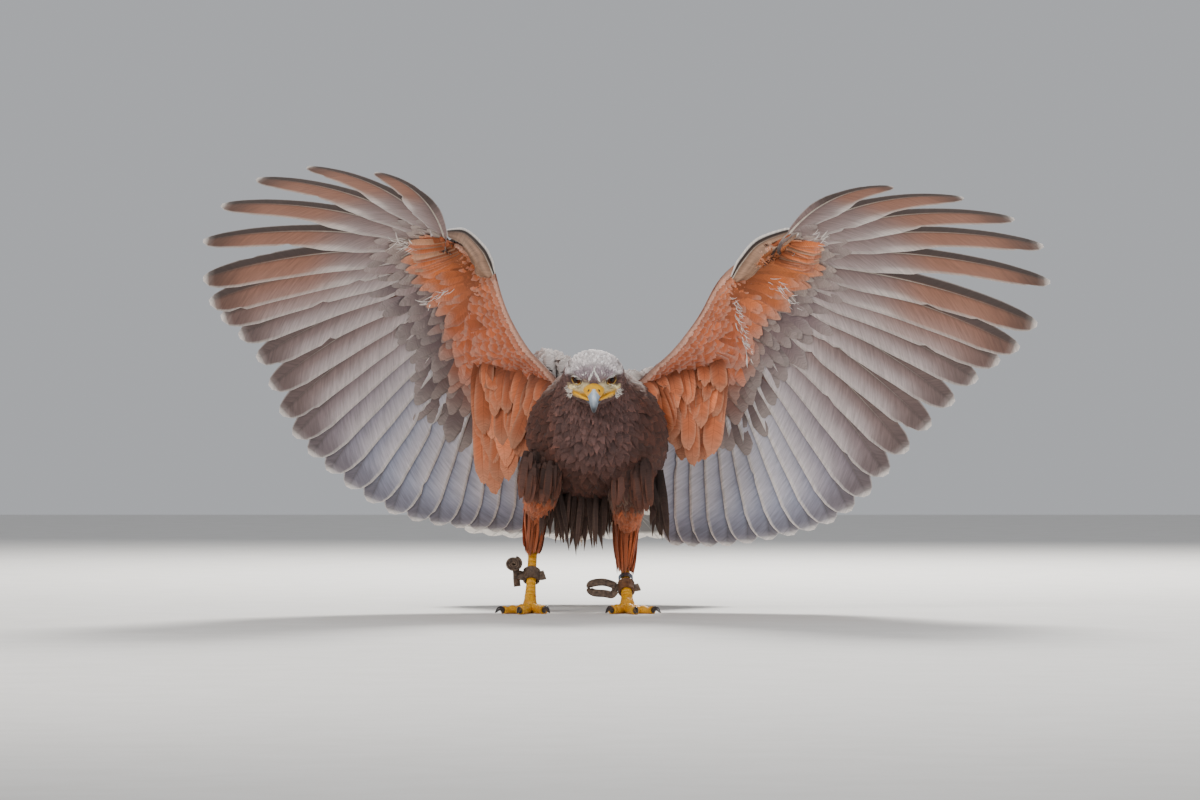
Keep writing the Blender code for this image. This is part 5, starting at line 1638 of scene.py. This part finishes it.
def claw(side, name):
    start, ahead, length = toe_path(side, name)
    end, claw_length = TOES[name][3:5]
    across = np.cross(ahead, (0, 0, 1))
    base = start + ahead * length + np.array([0, 0, end * 0.95])
    rings = []
    for along in np.linspace(0, 1, 20):
        bend = math.radians(-18 + 92 * along)
        forward = claw_length * math.sin(1.25 * along) / 1.25 * 0.95
        rise = 2.2 * math.sin(math.pi * min(along * 1.35, 1)) - (end * 0.95 - 1.3) * along**2
        lift = np.array([0, 0, 1]) * math.cos(bend) + ahead * math.sin(bend)
        radius = end * 0.74 * (1 - along) ** 0.75 + 0.22
        centre = base + ahead * forward + np.array([0, 0, rise])
        rings.append(ring_at(centre, across, lift, radius * 0.8, radius, circle(16)))
    rounded("talon_" + name + "_" + side, rings, CLAW_FINISH, "claws", ("claw_" + name + "_" + side,))


# Head details


def bill_rings(rows, sides, count):
    """Rings along a bill: forward, up, turn down in degrees, half width, above and below."""
    ahead, aside, upward = head_axes()
    rings = []
    turn = circle(sides)
    over = np.sin(turn) > 0
    for forward, up, tilt, wide, above, below in eased(rows, count):
        angle = math.radians(tilt)
        lift = upward * math.cos(angle) + ahead * math.sin(angle)
        high = np.where(over, above, below) * np.sin(turn)
        narrow = wide * np.cos(turn) * np.where(over, 1 - 0.18 * np.sin(turn) ** 2, 1)
        rings.append(in_head(forward, 0, up) + aside * narrow[:, None] + lift * high[:, None])
    return rings


BILL_TOP = (
    (41.4, -3.6, 12, 7.3, 6.2, 6.0), (45.2, -4.9, 24, 6.1, 5.9, 5.2), (48.4, -7.4, 44, 4.8, 5.1, 4.4),
    (50.6, -10.9, 66, 4.1, 4.1, 3.5), (51.3, -15.0, 84, 3.0, 2.9, 2.5), (50.9, -19.2, 98, 1.3, 1.0, 0.9),
)
BILL_UNDER = (
    (33.3, -12.3, 0, 8.6, 1.7, 2.2), (38.5, -12.2, 0, 6.9, 1.6, 2.9), (42.6, -12.4, -4, 4.6, 1.3, 2.5),
    (45.0, -12.6, -8, 1.6, 0.6, 1.0),
)
BILL_SKIN = (
    (31, -2.8, 0, 11.2, 6.6, 6.8), (33.3, -2.6, 0, 10.2, 6.9, 6.6), (36, -2.6, 2, 9.6, 7.0, 6.7),
    (39, -3.0, 6, 8.7, 6.8, 6.6), (41.0, -3.5, 10, 7.8, 6.5, 6.3), (41.9, -3.7, 12, 7.0, 6.0, 5.8),
)
# Each nostril: x from the middle and z from the front, and the half sizes of its oval in metres.
NOSTRIL_AT = (5.2, 223.0)
NOSTRIL = (0.00105, 0.0014, 0.0017)
# The middle of the mouth's corner from the bill back: forward, aside and up.
GAPE = ((41.5, 5.0, -9.6), (34, 10.6, -9.9), (28.5, 15.0, -9.4), (24.5, 18.3, -9.0), (21.5, 20.2, -9.2))


def bill():
    def horn_tint(points):
        down = ramp(-(points - in_head(42, 0, 0)) @ head_axes()[2], 0.0, 17.0)
        local = points - np.array(HEAD_AT)
        ridge_highlight = np.exp(-((local[:, 0] / 1.7) ** 2)) * (1 - down)
        made = blend_tint(linear("9fb0c1"), linear("2a2e35"), down**1.1)
        # A pale line along the top ridge near the root: painted highlight on the horn.
        made = blend_tint(made, linear("e2e8ee"), 0.55 * ridge_highlight)
        # The yellow skin reaches lower at the sides than on the ridge.
        off, drop = np.abs(local[:, 0]), -local[:, 2] - 14.0
        edge = off * 1.15 - 1.2 - drop * 0.9
        skin = ramp(edge, -0.5, 0.6) * ramp(off, 1.2, 2.4) * (1 - ramp(drop, 5.5, 7.0))
        return blend_tint(made, linear("eaaa1c"), skin)

    rounded("bill_top", bill_rings(BILL_TOP, 32, 30), HORN_FINISH, "bill", ("bill_upper",), horn_tint)
    rounded("bill_under", bill_rings(BILL_UNDER, 28, 16), HORN_FINISH, "bill", ("bill_lower",), horn_tint)
    cere = rounded("bill_skin", bill_rings(BILL_SKIN, 40, 20), CERE_FINISH, "yellow_skin", ("cere",))
    for turn in (1, -1):
        nostril(cere, turn)
        gape(turn)


def nostril(cere, turn):
    """Cuts a slanting oval nostril into the front of the bill's skin, with a dark oval in it as painted
    shade inside.
    """
    off, height = NOSTRIL_AT
    _, spot, _, _ = cere.ray_cast(tuple(placed((HEAD_AT[0] + off * turn, -400.0, height))), (0, 1, 0))
    made = []
    for size, back in ((1.0, 0.0), (0.93, 0.0005)):
        bpy.ops.mesh.primitive_uv_sphere_add(segments=24, ring_count=12, radius=1.0)
        hole = bpy.context.object
        hole.scale = [half * size for half in NOSTRIL]
        hole.rotation_euler = (0, math.radians(-24 * turn), 0)
        hole.location = (spot[0], spot[1] + back, spot[2])
        bpy.ops.object.transform_apply(location=True, rotation=True, scale=True)
        made.append(hole)
    cut = cere.modifiers.new("nostril", "BOOLEAN")
    cut.operation, cut.object, cut.solver = "DIFFERENCE", made[0], "EXACT"
    activate(cere)
    bpy.ops.object.modifier_apply(modifier="nostril")
    # The smaller, deeper oval is kept as a dark body in the hole: painted shade of the nostril's inside.
    mesh = made[1].data.copy()
    for hole in made:
        bpy.data.objects.remove(hole)
    smoothed(mesh)
    settled(mesh, "nostril_shade_" + side_of(turn), CLAW_FINISH, "bill")


def gape(turn):
    """The yellow skin of the mouth's corner, a soft ridge below the eye."""
    centres = np.array([in_head(forward, side * turn, up) for forward, side, up in eased(GAPE, 24)])
    up = head_axes()[2]
    aside = unit(np.cross(unit(np.gradient(centres, axis=0)), up))
    thick = np.interp(np.linspace(0, 1, 24), (0, 0.1, 0.7, 1), (0.8, 1.45, 1.25, 0.4))
    rings = [ring_at(centre, way, up, radius * 0.9, radius, circle(14))
             for centre, way, radius in zip(centres, aside, thick)]
    rounded("gape_" + side_of(turn), rings, CERE_FINISH, "yellow_skin")


# The lids' section from the eye outwards and back: radius and depth.
LIDS = (
    (4.5, 5.8), (4.7, 6.5), (5.2, 6.9), (5.9, 6.8), (6.9, 6.2), (8.3, 5.0), (9.6, 3.2), (9.2, 1.0),
    (4.6, 2.0),
)


def eye(turn):
    """A wet dark eye with its iris and pupil, and the lids that narrow it."""
    side = side_of(turn)
    middle, look = eye_place(turn)
    axes = eye_axes(look)
    turns = circle(48)
    rings = []
    for polar in np.linspace(0.04, math.pi - 0.04, 40):
        bulge = 1 + 0.05 * np.exp(-((polar / 0.5) ** 2))
        ring = (axes[0] * np.cos(turns)[:, None] + axes[1] * np.sin(turns)[:, None]) * math.sin(polar)
        rings.append(middle + (ring + axes[2] * math.cos(polar)) * (EYE_RADIUS - 0.05) * bulge)

    def iris_tint(points):
        local = unit(points - middle)
        polar = np.degrees(np.arccos(np.clip(local @ look, -1, 1)))
        spin = np.arctan2(local @ axes[1], local @ axes[0])
        streak = 0.8 + 0.25 * np.sin(spin * 23 + 2 * np.sin(spin * 5))
        iris = linear("5e321c") * streak[:, None]
        tint = blend_tint(linear("040303"), iris, ramp(polar, 19, 22))
        return blend_tint(tint, linear("120a07"), ramp(polar, 36, 42))

    rounded("eyeball_" + side, rings, EYE_FINISH, "eye", ("eye_" + side,), iris_tint)
    grid = []
    for radius, depth in LIDS:
        x, y = np.cos(turns) * radius * 1.06, np.sin(turns) * radius
        y = np.where(y > 0, y * (0.72 + 0.02 * radius), y * 0.92) + 0.16 * x * turn
        grid.append(middle + axes[0] * x[:, None] + axes[1] * y[:, None] + look * depth)
    mesh = closed_mesh("lids_" + side, np.concatenate(grid), ring_faces(len(LIDS), len(turns), closed=True))
    smoothed(mesh)

    def lid_tint(points):
        local = points - middle
        depth = (local @ look)[:, None]
        apart = np.linalg.norm(local - depth * look, axis=1)
        below = ramp(-(local @ axes[1]), 0.0, 3.0)
        tint = blend_tint(linear("17100c"), linear("d8a52a"), ramp(apart, 4.5, 5.1) * (0.12 + 0.8 * below))
        return blend_tint(tint, linear("5b4640"), ramp(apart, 5.3, 6.3 + below * 0.6))

    paint(mesh, lid_tint)
    lids = settled(mesh, "lids_" + side, LID_FINISH, "yellow_skin")
    smoother = lids.modifiers.new("smooth", "SUBSURF")
    smoother.levels = smoother.render_levels = 1
    activate(lids)
    bpy.ops.object.modifier_apply(modifier="smooth")


def dress_face():
    """The brows frosted with painted highlight, the pale bristles round the bill and the white streaks
    between the eyes.
    """
    ahead, aside, upward = head_axes()
    pile = Pile()

    def bristles(roots, ways, low, high, width, colour, bulge=0.8, amount=0.3):
        length = draw.uniform(low, high, len(roots))
        tips = roots + unit(ways + draw.normal(0, amount, roots.shape)) * length[:, None]
        facing = unit(roots - in_head(4, 0, -2))
        colours = tones(colour, len(roots), 0.15)
        hung(pile, roots - facing * 0.4, tips, facing * bulge, facing, width,
             ((0, 1.0), (0.5, 0.8), (1, 0.15)), along_tint(colours * 0.85, colours),
             rows=5, columns=3, fray=0.0, arch=0.0)

    def on_face(forward, side, up):
        return np.array([in_head(*row) for row in zip(forward, side, up)])

    def on_forehead(forward, side):
        """Points on the skin above the bill and the eyes."""
        places, wide, high = np.array(HEAD_RINGS).T[:3]
        share = np.clip(1 - (side / np.interp(forward, places, wide)) ** 2, 0.05, 1)
        return on_face(forward, side, np.interp(forward, places, high) * np.sqrt(share) - 0.5)

    for turn in (1, -1):
        # Lores: a few thin dark bristles and some pale ones on bare skin, running back.
        for count, tone in ((26, "33241e"), (34, "f2e8d2")):
            forward, up = draw.uniform(23.5, 33, count), draw.uniform(-8, 1.5, count)
            wide = np.interp(forward, (21, 27, 34), (20, 15, 8.8)) * np.sqrt(
                np.clip(1 - ((up + 3) / 19) ** 2, 0.2, 1))
            roots = on_face(forward, wide * turn, up)
            ways = -ahead * 0.5 - upward * 0.1 + aside * turn * 0.75
            bristles(roots, ways, 2.0, 4.2, 0.24, tone, 0.3, 0.25)
        # Brow: feathers along the ridge that overhangs the eye, frosted pale with painted highlight of the
        # light from above.
        count = 230
        share = draw.random(count)
        rise = draw.uniform(-2.2, 3.0, count)
        roots = on_face(30 - 17.5 * share, (9.5 + 14.0 * share) * turn, 8.8 + 1.4 * share + rise)
        ways = -ahead * 0.62 + aside * turn * 0.75 - upward * 0.05
        colour = blend_tint(linear("8f8580"), linear("ebe6e2"), draw.random(count))
        bristles(roots, ways, 4, 7.5, 1.4, colour, 1.0, 0.14)
        # Behind the gape: white bristly tufts.
        count = 95
        forward, up = draw.uniform(13, 23, count), draw.uniform(-15, -5.5, count)
        roots = on_face(forward, np.interp(forward, (13, 23), (26.5, 21)) * turn, up)
        ways = -ahead * 0.8 - upward * 0.35 + aside * turn * 0.3
        colour = blend_tint(linear("b3a69a"), linear("f4f0ea"), draw.random(count))
        bristles(roots, ways, 3, 6.5, 0.5, colour)
        # White streaks from the sides of the bill's root up to a peak between the brows.
        for count, foot_at, peak in ((70, (31.5, 5.8), (24.6, 0.5)), (44, (30.0, 9.8), (26.3, 8.2))):
            share = draw.random(count)[:, None]
            row = np.array(foot_at) * (1 - share) + np.array(peak) * share
            roots = on_forehead(row[:, 0], row[:, 1] * turn) + draw.normal(0, 0.35, (count, 3))
            ends = on_forehead(*(np.array([peak, foot_at]) * (1, turn)).T)
            bristles(roots, unit(ends[0] - ends[1]), 2.5, 5, 0.45, "f2ede6", 1.2, 0.14)
    pile.made("face_bristles", BODY_FINISH, "body_feathers")


# What it wears


# A band's section: rise as a share of its height, and the shares of its thickness and its flare
# that its radius takes in.
BAND = (
    (-0.5, 0, 0), (-0.5, 0.6, 1), (-0.46, 1, 1), (-0.25, 1, 0.3), (0, 1, 0), (0.25, 1, 0.3), (0.46, 1, 1),
    (0.5, 0.6, 1), (0.5, 0, 0),
)


def on_tarsus(side, share):
    _, hock, ankle = leg(side)
    return ankle + (hock - ankle) * share, unit(hock - ankle)


def band(name, side, sizes, finish, slot, node):
    """A closed band round a leg, waisted, with rounded rims."""
    share, height, inner, thick, flare = sizes
    centre, along = on_tarsus(side, share)
    aside, upward = across_of(along)
    turns = circle(64)
    grid = []
    for rise, thick_share, flare_share in BAND:
        radius = inner + thick * thick_share + flare * flare_share
        wave = radius + 0.12 * flare * np.sin(5 * turns) * (abs(rise) > 0.4)
        grid.append(centre + along * height * rise + (
            aside * np.cos(turns)[:, None] + upward * np.sin(turns)[:, None]) * wave[:, None])
    mesh = closed_mesh(name, np.concatenate(grid), ring_faces(len(BAND), len(turns), closed=True))
    activate(settled(mesh, name, finish, slot, node))
    bpy.ops.object.shade_smooth_by_angle(angle=math.radians(50))


def strap(name, route, wide, half_width, half_thick, finish, sides=16, nodes=()):
    """A flat strap with rounded edges along a route."""
    ahead = unit(np.gradient(route, axis=0))
    wide = square_to(wide, ahead)
    thin = np.cross(ahead, wide)
    cos, sin = np.cos(circle(sides)), np.sin(circle(sides))
    x = np.sign(cos) * np.abs(cos) ** 0.35 * half_width
    y = np.sign(sin) * np.abs(sin) ** 0.6 * half_thick
    rings = route[:, None] + wide[:, None] * x[None, :, None] + thin[:, None] * y[None, :, None]
    rounded(name, rings, finish, "worn_leather", nodes)


def leather():
    for side in LEGS:
        share, height, inner, thick, _ = ANKLETS[side]
        band("cuff_" + side, side, ANKLETS[side], LEATHER_FINISH if side == "left" else DARK_LEATHER,
             "worn_leather", "anklet_" + side)
        centre, along = on_tarsus(side, share)
        for turn, word in ((1, "outer"), (-1, "inner")):
            out = np.array([turn, 0, 0])
            start = centre + out * (inner + thick * 0.4)
            route = eased((start, start + out * 3, start + out * FLAP_LENGTH + along), 21)
            strap(f"flap_{word}_{side}", route, along, height * 0.42, 0.9, DARK_LEATHER)
        start = centre - np.array([inner + thick + FLAP_LENGTH + 0.3 + 0.9, 0, 0])
        route = start + np.array(JESS_ROUTES[side])
        strap("strap_" + side, eased(route, 7 * len(route)), np.array(JESS_WAYS[side]), 4.2, 1.1,
              DARK_LEATHER, nodes=("jess_" + side,))
        if side == "right":
            # The end rolled up into a button: a strip wound on itself.
            turns = np.linspace(0, 3.2 * 2 * math.pi, 110)
            radius = 1.2 + turns * 0.32
            wound = np.stack([1.08 * radius * np.cos(turns), 0 * turns, 0.94 * radius * np.sin(turns)], 1)
            strap("button_right", start + np.array([-2.5, 0, 12]) + wound, np.array([0, 1.0, 0]), 6.5, 1.15,
                  DARK_LEATHER, sides=12)
    band("ring_left", "left", LEG_RING, RING_FINISH, "leg_ring", "leg_ring_left")


# Rows of the fringe: share of its drop, number, colour, y, and least and most width.
FRINGES = (
    (1, 60, "3d2922", 18, 3.0, 7), (0.95, 46, "4a332a", 34, 3.0, 7), (0.9, 26, "dccfc0", 62, 5, 10),
)


def belly_fringe():
    """The shaggy feathers that hang below the belly, with pale tufts of the undertail between."""
    pile = Pile()

    def fringe(roots, tips, tone, low, high):
        colour = tones(tone, len(roots), 0.22)
        hung(pile, roots, tips, (0, -6.0, 0), (0, -1, 0.1), draw.uniform(low, high, len(roots)),
             ((0, 0.7), (0.4, 1.0), (0.75, 0.7), (1, 0.12)), rimmed(colour, 0.7, BUFF, 0.2, 0.3),
             rows=9, columns=5, fray=1.2)

    for depth, count, tone, y, low, high in FRINGES:
        x = np.linspace(-52, 26, count) + draw.normal(0, 2.0, count)
        roots = np.stack([x, y + draw.normal(0, 6, count), np.full(count, 124.0)], 1)
        drop = (62 - 0.016 * (x + 20) ** 2) * depth * draw.uniform(0.6, 1.08, count)
        tips = roots + np.stack([draw.normal(0, 5, count), np.full(count, 14.0), -drop], 1)
        fringe(roots, tips, tone, low, high)
    # Brown feathers of the left flank.
    roots, tips = (np.stack([draw.uniform(low, high, 26) for low, high in limits], 1) for limits in (
        ((46, 64), (20, 44), (128, 146)), ((52, 74), (34, 54), (70, 108))))
    fringe(roots, tips, "3a2822", 5, 10)
    pile.made("belly_fringe", BODY_FINISH, "body_feathers")


# The feathers of the shoulders that show behind the arms, near-white as painted highlight of the light from
# behind: tips from the front.
SCAPULARS = (
    (-76, 256), (-66, 261), (-57, 262), (-49, 266), (-40, 262), (-32, 257), (30, 243), (40, 244), (50, 246),
)


def scapulars():
    pile = Pile()

    def shoulder(y, number, spread, shift, lean, way):
        tips = np.repeat(np.array([(x, y, z) for x, z in SCAPULARS]), number, axis=0)
        tips = tips + draw.normal(0, spread, tips.shape) + shift
        return tips * np.array([lean, 1, 1]) + way, tips, len(tips)

    def brown(count):
        return rimmed(tones("54382d", count, 0.2), 0.7, RUST, 0.4)

    roots, tips, count = shoulder(24.0, 9, (3.5, 5.0, 3.0), (0, 0, -3.0), 0.88, (0, 4.0, -26.0))
    # Near-white: painted highlight of the light from behind; the far faces stay brown.
    colour = tones("e8e1dc", count, 0.12)
    far = brown(count)
    facing = np.array([0, -1.0, 0.0]) + draw.normal(0, 0.15, tips.shape)
    hung(pile, roots, tips, (0, 3.0, 5.0), facing, draw.uniform(9, 14, count), COVERT,
         along_tint(colour * 0.55, colour), far, fray=0.7, arch=0.2, thick=0.5)
    # Brown shoulder feathers on the back, over the roots of the pale ones.
    roots, tips, count = shoulder(44.0, 6, (5.0, 5.0, 4.0), (0, 6.0, -26.0), 0.82, (0, -26.0, 10.0))
    over = brown(count)
    hung(pile, roots, tips, (0, 3.0, 5.0), (0, 0.7, 1.0), draw.uniform(9, 14, count), COVERT, over,
         fray=0.7, arch=0.2)
    pile.made("scapulars", BODY_FINISH, "body_feathers")


# Stage


def linked(name, data):
    """An object of a camera or lamp, in the scene."""
    made = bpy.data.objects.new(name, data)
    bpy.context.scene.collection.objects.link(made)
    return made


def place_camera():
    """A long lens level with the breast, straight in front, framing 1200 mm across at the bird."""
    x, y, z = placed((3.0, 0.0, 214.0))
    distance, sensor, frame_width = 7.0, 36, 1.2
    data = bpy.data.cameras.new("camera")
    data.sensor_width = sensor
    data.lens = sensor * distance / frame_width
    camera = linked("camera", data)
    camera.location = (x, y - distance, z)
    camera.rotation_euler = (math.pi / 2, 0, 0)
    bpy.context.scene.camera = camera


def light(name, place, aim, size, power, colour):
    data = bpy.data.lights.new(name, "AREA")
    data.shape, data.size, data.energy, data.color = "DISK", size, power, colour
    lamp = linked(name, data)
    lamp.location = place
    x, y, z = np.array(aim, float) - np.array(place, float)
    lamp.rotation_euler = (math.atan2(math.hypot(x, y), -z), 0, math.atan2(y, x) - math.pi / 2)


def stage():
    bpy.ops.mesh.primitive_plane_add(size=12, location=(0, 0, 0))
    floor = bpy.context.object
    floor.name = "studio_floor"
    floor.data.materials.append(FLOOR_FINISH)
    world = bpy.data.worlds.new("studio")
    bpy.context.scene.world = world
    world.use_nodes = True
    background = world.node_tree.nodes["Background"]
    background.inputs["Color"].default_value = (0.82, 0.84, 0.88, 1)
    background.inputs["Strength"].default_value = 0.55
    middle = (0, 0, 0.22)
    light("key", (-1.3, -2.2, 1.7), middle, 1.2, 48, (1.0, 0.97, 0.93))
    light("fill", (1.9, -1.8, 0.9), middle, 1.4, 18, (0.93, 0.96, 1.0))
    light("rim", (0.3, 2.1, 1.9), middle, 0.9, 150, (1.0, 0.98, 0.94))


place_camera()
stage()
dress_body()
for leg_side in ("right", "left"):
    for dress in (dress_wing, dress_thigh, tarsus, foot):
        dress(leg_side)
for dress in (dress_tail, belly_fringe, scapulars, bill):
    dress()
for eye_turn in (1, -1):
    eye(eye_turn)
dress_face()
leather()
bpy.ops.object.select_all(action="DESELECT")
